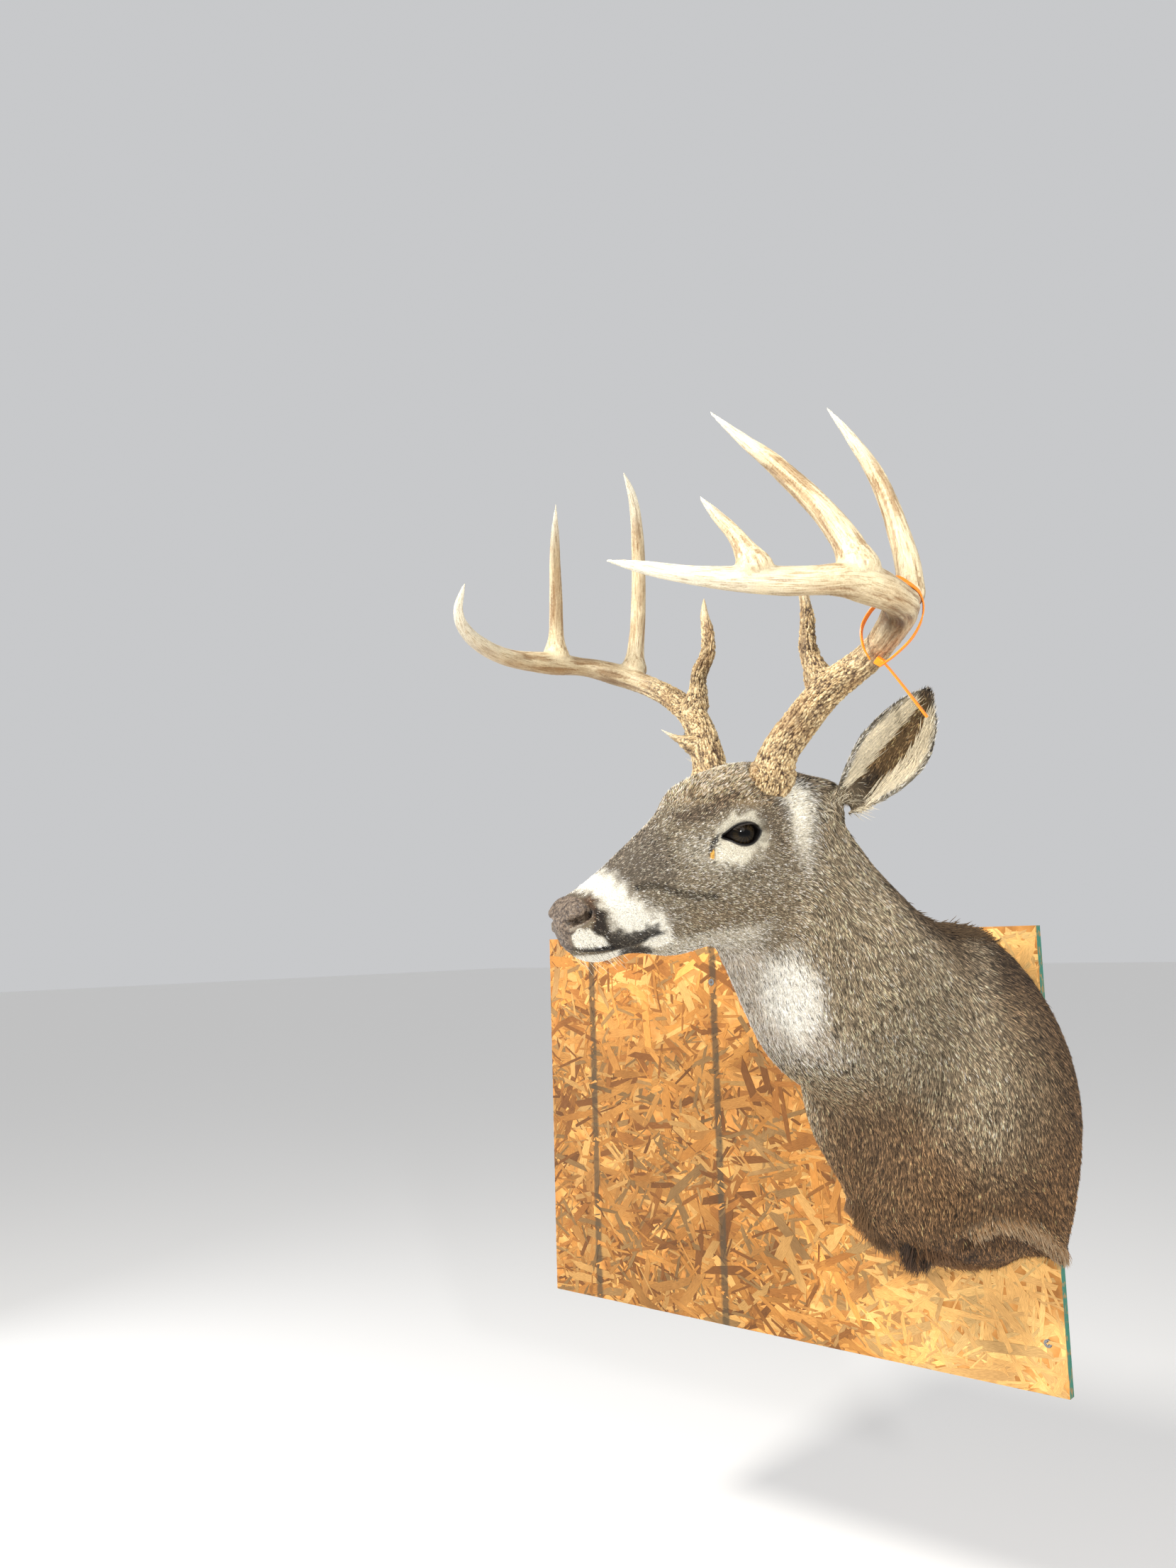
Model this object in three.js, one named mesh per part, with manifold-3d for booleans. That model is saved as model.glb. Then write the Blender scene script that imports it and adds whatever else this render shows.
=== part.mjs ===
// Whitetail buck shoulder mount, life size, hung on its panel of strand board.
// Millimetres, +Z up. The back of the board is the plane Y = 0, the origin is the centre of that
// back face, and the buck looks out towards -Y with its head turned a little to its right (-X).
import * as THREE from "three";
import { mergeVertices } from "three/addons/utils/BufferGeometryUtils.js";
import Module from "manifold-3d";

const wasm = await Module();
wasm.setup();

// ---------------------------------------------------------------- driving sizes
const GAP = 0.3; // clearance left between pieces that touch

const BOARD = { width: 700, height: 478, thickness: 11.1 };

// Where the neck and trunk are centred on the board, and how far the mount stands off it.
const MOUNT_X = 250;
const MOUNT_FACE_Y = -(BOARD.thickness + GAP);
const FORM_BACK = { thickness: 16, halfWidth: 118, halfHeight: 150, middleZ: 60 };

// The head's own frame starts midway between the eyes: x to the nose, y to the buck's left, z up.
const HEAD = {
  origin: [160.5, -336.8, 336.7],
  heading: -105.4,
  noseDown: 10,
  roll: -5,
};

const EYE = { radius: 17, centre: [-1.6, 38.9, -0.5], turn: 18 };
const NOSE_TIP_X = 190;
const NECK_CUT_PITCH = 37.5; // the plane between head and neck leans back by this much

const RINGS = { trunk: 13, neck: 9, fan: 8, muzzle: 22, around: 34 };

// ---------------------------------------------------------------- small helpers
const vec = (x, y, z) => new THREE.Vector3(x, y, z);
const rad = THREE.MathUtils.degToRad;
const lerp = THREE.MathUtils.lerp;
const smooth = THREE.MathUtils.smoothstep;

const headFrame = new THREE.Matrix4()
  .makeTranslation(...HEAD.origin)
  .multiply(new THREE.Matrix4().makeRotationZ(rad(HEAD.heading)))
  .multiply(new THREE.Matrix4().makeRotationY(rad(HEAD.noseDown)))
  .multiply(new THREE.Matrix4().makeRotationX(rad(HEAD.roll)));
const fromHead = (x, y, z) => vec(x, y, z).applyMatrix4(headFrame);
const headDirection = (x, y, z) => vec(x, y, z).transformDirection(headFrame);

// A value that runs smoothly through [position, value] pairs.
function along(keys, t) {
  let i = 0;
  while (i < keys.length - 2 && t > keys[i + 1][0]) i += 1;
  const [t0, v0] = keys[i];
  const [t1, v1] = keys[i + 1];
  const before = keys[Math.max(i - 1, 0)];
  const after = keys[Math.min(i + 2, keys.length - 1)];
  const slopeIn = (v1 - before[1]) / (t1 - before[0]);
  const slopeOut = (after[1] - v0) / (after[0] - t0);
  const span = t1 - t0;
  const s = THREE.MathUtils.clamp((t - t0) / span, 0, 1);
  const s2 = s * s;
  const s3 = s2 * s;
  return (2 * s3 - 3 * s2 + 1) * v0 + (s3 - 2 * s2 + s) * span * slopeIn
    + (3 * s2 - 2 * s3) * v1 + (s3 - s2) * span * slopeOut;
}

// ---------------------------------------------------------------- body shape as a soft blend
// Each muscle is a distance: negative inside, zero on its surface.
function roundedCone(from, to, fromRadius, toRadius) {
  const axis = to.clone().sub(from);
  const length = axis.length();
  axis.normalize();
  const slope = (fromRadius - toRadius) / length;
  const flank = Math.sqrt(1 - slope * slope);
  const offset = vec(0, 0, 0);
  return (point) => {
    offset.subVectors(point, from);
    const height = offset.dot(axis);
    const reach = Math.sqrt(Math.max(offset.lengthSq() - height * height, 0));
    const foot = flank * height - slope * reach;
    if (foot < 0) return Math.hypot(reach, height) - fromRadius;
    if (foot > flank * length) return Math.hypot(reach, height - length) - toRadius;
    return reach * flank + height * slope - fromRadius;
  };
}

function ellipsoid(centre, radii, frame) {
  const inverse = new THREE.Matrix4().makeTranslation(...centre.toArray());
  if (frame) inverse.multiply(new THREE.Matrix4().extractRotation(frame));
  inverse.invert();
  const [a, b, c] = radii;
  const local = vec(0, 0, 0);
  return (point) => {
    local.copy(point).applyMatrix4(inverse);
    const k0 = Math.hypot(local.x / a, local.y / b, local.z / c);
    const k1 = Math.hypot(local.x / (a * a), local.y / (b * b), local.z / (c * c));
    return k1 === 0 ? -Math.min(a, b, c) : (k0 * (k0 - 1)) / k1;
  };
}

function softMin(a, b, softness) {
  const h = Math.max(softness - Math.abs(a - b), 0) / softness;
  return Math.min(a, b) - (h * h * softness) / 4;
}
const softMax = (a, b, softness) => -softMin(-a, -b, softness);


const bothSides = (make) => [make(1), make(-1)];
const headCone = (from, to, r0, r1) => roundedCone(fromHead(...from), fromHead(...to), r0, r1);
const headBall = (centre, radii, turn = 0) => ellipsoid(
  fromHead(...centre), radii, headFrame.clone().multiply(new THREE.Matrix4().makeRotationZ(rad(turn))));
const bodyCone = (from, to, r0, r1) => roundedCone(vec(...from), vec(...to), r0, r1);
const bodyBall = (centre, radii) => ellipsoid(vec(...centre), radii);

// Steps of the sculpture: each takes the distance so far and gives the new one.
const add = (softness, muscle) => (distance, point) => softMin(distance, muscle(point), softness);
const carve = (softness, muscle) => (distance, point) => softMax(distance, -muscle(point), softness);
// Keeps what lies above a plane that passes through `through` and rises towards the front.
const trimBelow = (softness, through, rise) => (distance, point) => (
  softMax(distance, through[2] + rise * (through[1] - point.y) - point.z, softness));

const trunkShape = [
  add(40, bodyBall([MOUNT_X, 40, 30], [138, 190, 218])),
  ...bothSides((s) => add(40, bodyBall([MOUNT_X + s * 73, -74, 58], [62, 92, 90]))),
  add(50, bodyCone([MOUNT_X, -20, -20], [MOUNT_X - 4, -112, -18], 92, 60)),
  add(30, bodyCone([MOUNT_X, 10, 188], [MOUNT_X - 4, -64, 180], 52, 50)),
  trimBelow(30, [MOUNT_X, -11, -126], 0.27),
  ...bothSides((s) => carve(20, bodyBall([MOUNT_X + s * 72, -45, -134], [34, 70, 34]))),
  // ends of the two upper forelegs, the point of the brisket and the corners of the skin
  ...bothSides((s) => add(26, bodyCone([MOUNT_X + s * 74, -66, -50], [MOUNT_X + s * 73, -60, -73], 27, 13))),
  add(20, bodyCone([MOUNT_X - 2, -104, -70], [MOUNT_X - 4, -134, -86], 24, 7)),
  ...bothSides((s) => add(20, bodyCone([MOUNT_X + s * 90, -36, -60], [MOUNT_X + s * 104, -24, -100], 22, 7))),
];

const neckShape = [
  add(60, bodyCone([MOUNT_X - 10, -62, 112], [215, -174, 188], 106, 86)),
  add(50, roundedCone(vec(215, -174, 188), fromHead(-82, 0, -30), 86, 74)),
  add(40, roundedCone(vec(210, -198, 160), fromHead(-38, 0, -62), 80, 52)),
];

const headShape = [
  add(36, headBall([-38, 0, 8], [74, 57, 56])),
  ...bothSides((s) => add(24, headBall([0, s * 31, 18], [29, 23, 21]))),
  add(30, headCone([16, 0, 18], [146, 0, -47], 29, 22)),
  ...bothSides((s) => add(24, headCone([36, s * 20, -38], [144, s * 8, -60], 27, 21.5))),
  ...bothSides((s) => add(24, headBall([-12, s * 33, -46], [54, 24, 50]))),
  ...bothSides((s) => add(24, headCone([2, s * 26, -82], [64, s * 15, -79], 26, 22))),
  add(24, headCone([60, 0, -79], [146, 0, -77], 24, 15)),
  add(18, headBall([154, 0, -80], [18, 15, 11])),
  add(14, headBall([165, 0, -58], [22, 23, 23])),
  ...bothSides((s) => add(10, headBall([168, s * 16, -48], [14, 11, 12]))),
  ...bothSides((s) => carve(4, headBall([176, s * 27, -47], [10, 6, 5], s * 35))),
  ...bothSides((s) => add(20, headCone([-80, s * 42, 16], [-101, s * 64, 20], 27, 21))),
  ...bothSides((s) => carve(6, headBall([5, s * 60, EYE.centre[2]], [21, 14, 14], s * -EYE.turn))),
];

const sculpture = [...trunkShape, ...neckShape, ...headShape];
const FAR_AWAY = 1e6;
const depthOutside = (point) => (
  sculpture.reduce((distance, step) => step(distance, point), FAR_AWAY));

// ---------------------------------------------------------------- sections along the body
// A section is a plane with a centre, a sideways direction and an upward direction.
function section(centre, ahead, upHint = vec(0, 0, 1)) {
  const side = ahead.clone().cross(upHint).normalize();
  const up = side.clone().cross(ahead).normalize();
  return { centre, ahead, side, up };
}

// Draws a section back from a cut by half the clearance.
function standBack(cut, direction) {
  const centre = cut.centre.clone().addScaledVector(cut.ahead, (direction * GAP) / 2);
  return { ...cut, centre };
}

const headUp = headDirection(0, 0, 1);
const FAN_PIVOT = [24, 0, -172];
const FAN_REACH = 150;

function fanSection(pitch) {
  const s = Math.sin(rad(pitch));
  const c = Math.cos(rad(pitch));
  const centre = fromHead(FAN_PIVOT[0] - FAN_REACH * s, 0, FAN_PIVOT[2] + FAN_REACH * c);
  return section(centre, headDirection(c, 0, s), headUp);
}

const muzzleMiddle = [[24, -22], [60, -44], [110, -52], [150, -58], [186, -56]];
function muzzleSection(x) {
  return section(fromHead(x, 0, along(muzzleMiddle, x)), headDirection(1, 0, 0), headUp);
}

const neckPath = new THREE.CatmullRomCurve3([
  fanSection(NECK_CUT_PITCH).centre,
  vec(200, -214, 248),
  vec(222, -168, 206),
  vec(240, -122, 162),
  vec(248, -82, 116),
  vec(MOUNT_X, -44, 84),
  vec(MOUNT_X, 6, 66),
]);
const neckPitch = [[0, 27], [0.25, 36], [0.5, 36], [0.7, 24], [0.85, 9], [1, 0]];
const TRUNK_FROM = 0.5;

function neckSection(t) {
  const fromHeadCut = headDirection(Math.cos(rad(NECK_CUT_PITCH)), 0, Math.sin(rad(NECK_CUT_PITCH)));
  const pitch = rad(along(neckPitch, t));
  const straight = vec(-0.12 * (1 - t), -Math.cos(pitch), Math.sin(pitch)).normalize();
  const ahead = fromHeadCut.lerp(straight, smooth(t, 0, 0.3)).normalize();
  return section(neckPath.getPoint(t), ahead);
}

const spread = (from, to, count) => Array.from({ length: count + 1 },
  (_, i) => lerp(from, to, i / count));

// ---------------------------------------------------------------- lofting
// Walks out from a section's centre until the flesh ends; the step stays short because an
// ellipsoid's distance is only roughly true deep inside it.
const LONGEST_STEP = 5;
const STEPS = 160;
function surfaceReach({ centre, side, up }, angle, margin = 0) {
  const direction = side.clone().multiplyScalar(Math.cos(angle)).addScaledVector(up, Math.sin(angle));
  const point = centre.clone();
  let reach = 0;
  for (let i = 0; i < STEPS; i += 1) {
    const inside = margin - depthOutside(point);
    if (inside < 0.02) break;
    reach += Math.min(Math.max(inside * 0.7, 0.03), LONGEST_STEP);
    point.copy(centre).addScaledVector(direction, reach);
  }
  return point;
}

// Moves every vertex of a unit cylinder by its height and its angle, keeping it one closed body.
function reshapeCylinder(around, rows, place) {
  const geometry = new THREE.CylinderGeometry(1, 1, 1, around, rows);
  const position = geometry.attributes.position;
  for (let i = 0; i < position.count; i += 1) {
    const x = position.getX(i);
    const z = position.getZ(i);
    const row = Math.round((0.5 + position.getY(i)) * rows);
    const turn = Math.round((Math.atan2(x, z) / (2 * Math.PI)) * around);
    const onAxis = Math.hypot(x, z) < 0.5;
    const point = place(row, Math.PI / 2 - (((turn + around) % around) / around) * 2 * Math.PI, onAxis);
    position.setXYZ(i, point.x, point.y, point.z);
  }
  return weld(geometry);
}

function weld(geometry) {
  geometry.deleteAttribute("normal");
  geometry.deleteAttribute("uv");
  return mergeVertices(geometry, 1e-4);
}

function loft(sections, margin = 0) {
  return reshapeCylinder(RINGS.around, sections.length - 1, (row, angle, onAxis) => (
    onAxis ? sections[row].centre : surfaceReach(sections[row], angle, margin)));
}

// ---------------------------------------------------------------- solids that cut one another
function toSolid(geometry) {
  const welded = geometry.index && !geometry.attributes.normal ? geometry : weld(geometry.clone());
  return new wasm.Manifold(new wasm.Mesh({
    numProp: 3,
    vertProperties: Float32Array.from(welded.attributes.position.array),
    triVerts: Uint32Array.from(welded.index.array),
  }));
}

function toGeometry(solid) {
  const { vertProperties, triVerts } = solid.getMesh();
  const geometry = new THREE.BufferGeometry();
  geometry.setAttribute("position", new THREE.BufferAttribute(Float32Array.from(vertProperties), 3));
  geometry.setIndex(new THREE.BufferAttribute(Uint32Array.from(triVerts), 1));
  return geometry;
}

// ---------------------------------------------------------------- materials
const paint = (color, roughness, metalness = 0) => (
  new THREE.MeshStandardMaterial({ color, roughness, metalness }));
const MATERIAL = {
  coat: paint(0x75675a, 0.95),
  ear: paint(0xa89a88, 0.95),
  eye: paint(0x1a120c, 0.08),
  antler: paint(0xcbb389, 0.6),
  strandBoard: paint(0xc98f45, 0.8),
  formWood: paint(0xb58f5f, 0.8),
  screw: paint(0x77797c, 0.4, 0.9),
  zipTie: paint(0xf07818, 0.45),
};

// What a cut leaves beyond its main body is dropped.
const mainBody = (solid) => solid.decompose()
  .reduce((largest, body) => (body.volume() > largest.volume() ? body : largest));

const model = new THREE.Group();
const head = new THREE.Group();
headFrame.decompose(head.position, head.quaternion, head.scale);
model.add(head);
const toHeadFrame = headFrame.clone().invert();

function addPiece(name, geometry, material, parent = model) {
  const mesh = new THREE.Mesh(geometry, material);
  mesh.name = name;
  parent.add(mesh);
  return mesh;
}

// ---------------------------------------------------------------- antlers, in the head's frame
// Each path is the centre line from root to tip; each girth is [share of the way, radius].
const LEFT = 1;
const RIGHT = -1;
const ANTLERS = {
  left: {
    side: LEFT,
    beam: {
      path: [[-49, 45, 50], [-54, 52, 68], [-66, 73, 95], [-77, 103, 123], [-85, 152, 149],
        [-77, 198, 182], [-43, 223, 192], [10, 226, 207], [72, 211, 211], [128, 170, 224],
        [171, 114, 247]],
      girth: [[0, 17], [0.03, 21.5], [0.055, 19], [0.12, 17], [0.22, 15.6], [0.33, 13.5],
        [0.43, 16], [0.5, 14.5], [0.57, 16.5], [0.66, 12.5], [0.76, 11.5], [0.86, 8],
        [0.95, 5], [1, 1.4]],
    },
    forks: [0.405, 0.535],
    tines: {
      brow: {
        path: [[-77, 100, 121], [-79, 89, 142], [-81, 80, 165], [-91, 73, 190], [-92, 72, 212],
          [-86, 72, 236]],
        girth: [[0, 13], [0.2, 11], [0.45, 8.5], [0.75, 6], [0.93, 3.4], [1, 1.2]],
      },
      second: {
        path: [[-80, 199, 184], [-90, 201, 210], [-96, 190, 252], [-95, 174, 304],
          [-83, 158, 345], [-69, 147, 373]],
        girth: [[0, 13], [0.15, 11.8], [0.4, 9.6], [0.68, 7.4], [0.88, 4.2], [1, 1.2]],
      },
      third: {
        path: [[4, 228, 203], [1, 223, 226], [5, 206, 260], [25, 172, 312], [39, 148, 341],
          [53, 127, 369]],
        girth: [[0, 19], [0.12, 14.5], [0.3, 11.2], [0.6, 8.8], [0.85, 4.6], [1, 1.2]],
      },
      fourth: {
        path: [[88, 202, 212], [91, 196, 232], [95, 187, 252], [101, 175, 270], [108, 164, 288]],
        girth: [[0, 16], [0.2, 11.5], [0.45, 7.4], [0.8, 4.4], [1, 1.2]],
      },
    },
  },
  right: {
    side: RIGHT,
    beam: {
      path: [[-49, 45, 50], [-54, 52, 70], [-66, 72, 95], [-80, 104, 119], [-85, 152, 144],
        [-77, 195, 164], [-43, 222, 182], [7, 225, 191], [73, 212, 201], [134, 178, 222],
        [169, 136, 244], [172, 112, 267]],
      girth: [[0, 16], [0.03, 19.5], [0.055, 17.6], [0.12, 15.6], [0.22, 13.5], [0.33, 11.5],
        [0.42, 12.5], [0.5, 10.5], [0.56, 12.5], [0.66, 10], [0.78, 8.6], [0.9, 6],
        [0.97, 3.6], [1, 1.3]],
    },
    forks: [0.395, 0.53],
    tines: {
      brow: {
        path: [[-78, 98, 114], [-80, 87, 136], [-82, 84, 156], [-86, 70, 178], [-86, 66, 198],
          [-91, 74, 218], [-91, 71, 237]],
        girth: [[0, 14], [0.2, 9.6], [0.45, 8.4], [0.7, 6.6], [0.9, 4], [1, 1.2]],
      },
      second: {
        path: [[-80, 197, 163], [-91, 201, 190], [-98, 192, 250], [-95, 176, 322],
          [-82, 160, 362], [-64, 148, 387]],
        girth: [[0, 14], [0.12, 10.4], [0.35, 8.6], [0.7, 7], [0.9, 4.4], [1, 1.2]],
      },
      third: {
        path: [[1, 228, 187], [-1, 226, 208], [4, 208, 256], [19, 176, 308], [44, 128, 347]],
        girth: [[0, 14], [0.15, 9.4], [0.4, 7.4], [0.75, 5], [1, 1.2]],
      },
      sticker: {
        path: [[-50, 56, 76], [-44, 66, 86], [-34, 76, 94], [-22, 84, 105]],
        girth: [[0, 9], [0.3, 6.5], [0.65, 3.6], [1, 1]],
      },
    },
  },
};
const HORN = { around: 10, step: 18, tineAround: 8, frames: 200 };

function hornCurve(path, side) {
  return new THREE.CatmullRomCurve3(path.map(([x, y, z]) => vec(x, side * y, z)));
}

// A tapering round bar along part of a curve, with flat ends; `short` draws its far end back.
function horn(path, girth, side, options = {}) {
  const { from = 0, to = 1, around = HORN.tineAround, extra = 0, short = 0 } = options;
  const curve = hornCurve(path, side);
  const rows = Math.max(3, Math.round((curve.getLength() * (to - from)) / HORN.step));
  const frames = curve.computeFrenetFrames(HORN.frames);
  return reshapeCylinder(around, rows, (row, angle, onAxis) => {
    const frame = Math.round(lerp(from, to, row / rows) * HORN.frames);
    const t = frame / HORN.frames;
    const centre = curve.getPointAt(t);
    if (row === rows) centre.addScaledVector(frames.tangents[frame], -short);
    if (onAxis) return centre;
    const radius = along(girth, t) + extra;
    return centre
      .addScaledVector(frames.normals[frame], -Math.cos(angle) * radius)
      .addScaledVector(frames.binormals[frame], Math.sin(angle) * radius);
  });
}

const antlerRoots = [];
for (const [sideName, { side, beam, forks, tines }] of Object.entries(ANTLERS)) {
  const bounds = [0, ...forks, 1];
  const keepOuts = ["lower", "middle", "outer"].map((part, i) => {
    const reach = { from: bounds[i], to: bounds[i + 1], around: HORN.around };
    const piece = horn(beam.path, beam.girth, side, { ...reach, short: i < 2 ? GAP : 0 });
    addPiece(`antler_${sideName}_beam_${part}`, piece, MATERIAL.antler, head);
    return toSolid(horn(beam.path, beam.girth, side, { ...reach, extra: GAP }));
  });
  antlerRoots.push(keepOuts[0]);
  for (const [tineName, { path, girth }] of Object.entries(tines)) {
    let tine = toSolid(horn(path, girth, side));
    for (const keepOut of keepOuts) tine = tine.subtract(keepOut);
    addPiece(`antler_${sideName}_${tineName}`, toGeometry(mainBody(tine)), MATERIAL.antler, head);
  }
}

// ---------------------------------------------------------------- head, neck and trunk
const headSections = [
  ...spread(NECK_CUT_PITCH, 0, RINGS.fan).map(fanSection),
  ...spread(0, 1, RINGS.muzzle).slice(1).map((t) => (
    muzzleSection(lerp(FAN_PIVOT[0], NOSE_TIP_X, Math.sin((t * Math.PI) / 2) * 0.6 + t * 0.4)))),
];
const neckSections = spread(TRUNK_FROM, 0, RINGS.neck).map(neckSection);
const trunkSections = spread(1, TRUNK_FROM, RINGS.trunk).map(neckSection);
headSections[0] = standBack(headSections[0], 1);
neckSections[neckSections.length - 1] = standBack(neckSections.at(-1), -1);
neckSections[0] = standBack(neckSections[0], 1);
trunkSections[trunkSections.length - 1] = standBack(trunkSections.at(-1), -1);

// The trunk ends flat at the board, and wraps a plywood back let into the form.
const behindMount = new THREE.BoxGeometry(BOARD.width * 2, 200, BOARD.height * 2)
  .translate(0, MOUNT_FACE_Y + 100, 0);
const formBack = (extra) => new THREE.CylinderGeometry(1, 1, FORM_BACK.thickness + extra, 36)
  .scale(FORM_BACK.halfWidth + extra, 1, FORM_BACK.halfHeight + extra)
  .translate(MOUNT_X, MOUNT_FACE_Y - (FORM_BACK.thickness - extra) / 2, FORM_BACK.middleZ);
const trunkSolid = toSolid(loft(trunkSections))
  .subtract(toSolid(behindMount))
  .subtract(toSolid(formBack(GAP)));
addPiece("trunk", toGeometry(trunkSolid), MATERIAL.coat);
addPiece("form_back", weld(formBack(0)), MATERIAL.formWood);
addPiece("neck", loft(neckSections), MATERIAL.coat);

const eyeBall = (side, radius) => new THREE.SphereGeometry(radius, 14, 10)
  .translate(EYE.centre[0], side * EYE.centre[1], EYE.centre[2]);
let headSolid = toSolid(loft(headSections).applyMatrix4(toHeadFrame));
for (const side of [LEFT, RIGHT]) {
  headSolid = headSolid.subtract(toSolid(eyeBall(side, EYE.radius + GAP)));
}
for (const root of antlerRoots) headSolid = headSolid.subtract(root);
addPiece("head", toGeometry(mainBody(headSolid)), MATERIAL.coat, head);
addPiece("eye_left", weld(eyeBall(LEFT, EYE.radius)), MATERIAL.eye, head);
addPiece("eye_right", weld(eyeBall(RIGHT, EYE.radius)), MATERIAL.eye, head);

// ---------------------------------------------------------------- ears
// A leaf curled into a cup: across runs edge to edge, along runs from root to tip.
const EAR = {
  root: [-109, 77, 14],
  tip: { left: [-123, 184, 114], right: [-132, 176, 96] },
  opening: [0.89, 0.36, -0.28],
  bow: 9,
  sway: 11,
  halfWidth: [[0, 33], [0.2, 42], [0.45, 46], [0.7, 37], [0.88, 21], [1, 5]],
  lowerEdge: [[0, 1], [0.2, 0.8], [0.45, 0.76], [0.7, 0.86], [1, 1]],
  curl: [[0, 2.4], [0.2, 1.8], [0.45, 1.15], [0.7, 0.9], [1, 0.8]],
  thickness: [[0, 7], [0.5, 6], [1, 3.5]],
  along: 10,
  across: 8,
};

function ear(side, earTip) {
  const root = vec(EAR.root[0], side * EAR.root[1], EAR.root[2]);
  const tip = vec(earTip[0], side * earTip[1], earTip[2]);
  const axis = tip.clone().sub(root).normalize();
  const opening = vec(EAR.opening[0], side * EAR.opening[1], EAR.opening[2]);
  opening.addScaledVector(axis, -opening.dot(axis)).normalize();
  const across = axis.clone().cross(opening);
  const geometry = new THREE.BoxGeometry(1, 1, 1, EAR.across, EAR.along, 1);
  const position = geometry.attributes.position;
  for (let i = 0; i < position.count; i += 1) {
    const t = 0.5 + position.getY(i);
    const middle = Math.sin(Math.PI * t);
    const turn = along(EAR.curl, t);
    const radius = along(EAR.halfWidth, t) / turn;
    const wall = position.getZ(i) > 0 ? Math.min(along(EAR.thickness, t), radius * 0.6) : 0;
    const depth = radius - wall;
    const edge = position.getX(i) * side > 0 ? along(EAR.lowerEdge, t) : 1;
    const angle = position.getX(i) * 2 * turn * edge;
    const point = root.clone().lerp(tip, t)
      .addScaledVector(opening, radius - depth * Math.cos(angle) - EAR.bow * middle)
      .addScaledVector(across, depth * Math.sin(angle) + side * EAR.sway * middle);
    position.setXYZ(i, point.x, point.y, point.z);
  }
  return weld(geometry);
}

const headKeepOut = toSolid(loft(headSections, GAP).applyMatrix4(toHeadFrame));
const neckKeepOut = toSolid(loft(neckSections, GAP).applyMatrix4(toHeadFrame));
for (const [name, side] of [["left", LEFT], ["right", RIGHT]]) {
  const solid = toSolid(ear(side, EAR.tip[name])).subtract(headKeepOut).subtract(neckKeepOut);
  addPiece(`ear_${name}`, toGeometry(mainBody(solid)), MATERIAL.ear, head);
}

// ---------------------------------------------------------------- cable tie on the left beam
const TIE = {
  width: 4.8,
  thickness: 1.3,
  loop: [[-74, 172, 138], [-79, 186, 146], [-85, 203, 160], [-95, 207, 177], [-84, 216, 195],
    [-71, 213, 206], [-70, 203, 212], [-78, 188, 209], [-86, 174, 199], [-80, 161, 187],
    [-68, 160, 172], [-65, 163, 156], [-69, 165, 145]],
  tail: [[-78, 174, 141], [-85, 183, 121], [-96, 199, 88]],
  lock: { centre: [-75.5, 170, 142], size: [9, 8, 7] },
};

// A flat strap along a curve; its broad face looks towards or away from the point `inward`.
function strap(points, rows, inward, extra = 0) {
  const curve = new THREE.CatmullRomCurve3(points.map((point) => vec(...point)));
  const geometry = new THREE.BoxGeometry(1, 1, 1, 1, rows, 1);
  const position = geometry.attributes.position;
  for (let i = 0; i < position.count; i += 1) {
    const t = 0.5 + position.getY(i);
    const centre = curve.getPointAt(t);
    const tangent = curve.getTangentAt(t);
    const across = tangent.clone().cross(inward.clone().sub(centre)).normalize();
    const outward = across.clone().cross(tangent);
    centre.addScaledVector(across, position.getX(i) * (TIE.width + extra * 2))
      .addScaledVector(outward, position.getZ(i) * (TIE.thickness + extra * 2));
    position.setXYZ(i, centre.x, centre.y, centre.z);
  }
  return weld(geometry);
}

const tieMiddle = new THREE.Box3()
  .setFromPoints(TIE.loop.map((point) => vec(...point))).getCenter(vec(0, 0, 0));
const tieSolid = (points, rows, extra = 0) => toSolid(strap(points, rows, tieMiddle, extra));
const lockBox = (extra) => toSolid(new THREE.BoxGeometry(...TIE.lock.size.map((size) => size + extra * 2))
  .translate(...TIE.lock.centre));
const lockSolid = lockBox(0).subtract(tieSolid(TIE.loop, 30, GAP)).subtract(antlerRoots[0]);
const tailSolid = tieSolid(TIE.tail, 4).subtract(tieSolid(TIE.loop, 30, GAP)).subtract(lockBox(GAP));
addPiece("cable_tie_loop", strap(TIE.loop, 30, tieMiddle), MATERIAL.zipTie, head);
addPiece("cable_tie_tail", toGeometry(mainBody(tailSolid)), MATERIAL.zipTie, head);
addPiece("cable_tie_lock", toGeometry(mainBody(lockSolid)), MATERIAL.zipTie, head);

// ---------------------------------------------------------------- board and its screws
const SCREW = {
  headRadius: 4.3,
  shankRadius: 2,
  length: 9,
  sink: 2.6,
  proud: 0.4,
  slot: { length: 4.6, width: 1.1, depth: 1.2 },
};
const SCREW_PLACES = { lower: [331, -188], upper: [-72, 179] };

// A countersunk screw pointing into the board, with its head at the front face.
function screwBody([x, z], extra) {
  const { headRadius, shankRadius, length, sink, proud } = SCREW;
  const profile = [
    [0, -proud - extra], [headRadius + extra, -proud - extra], [headRadius + extra, 0.2],
    [shankRadius + extra, sink], [shankRadius + extra, length + extra], [0, length + extra],
  ].map(([radius, depth]) => new THREE.Vector2(radius, depth));
  return weld(new THREE.LatheGeometry(profile, 12)).translate(x, -BOARD.thickness, z);
}

function screw(place) {
  const { length, width, depth } = SCREW.slot;
  const top = -BOARD.thickness - SCREW.proud;
  let solid = toSolid(screwBody(place, 0));
  for (const [w, h] of [[length, width], [width, length]]) {
    const slot = new THREE.BoxGeometry(w, depth * 2, h).translate(place[0], top, place[1]);
    solid = solid.subtract(toSolid(slot));
  }
  return toGeometry(solid);
}

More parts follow.
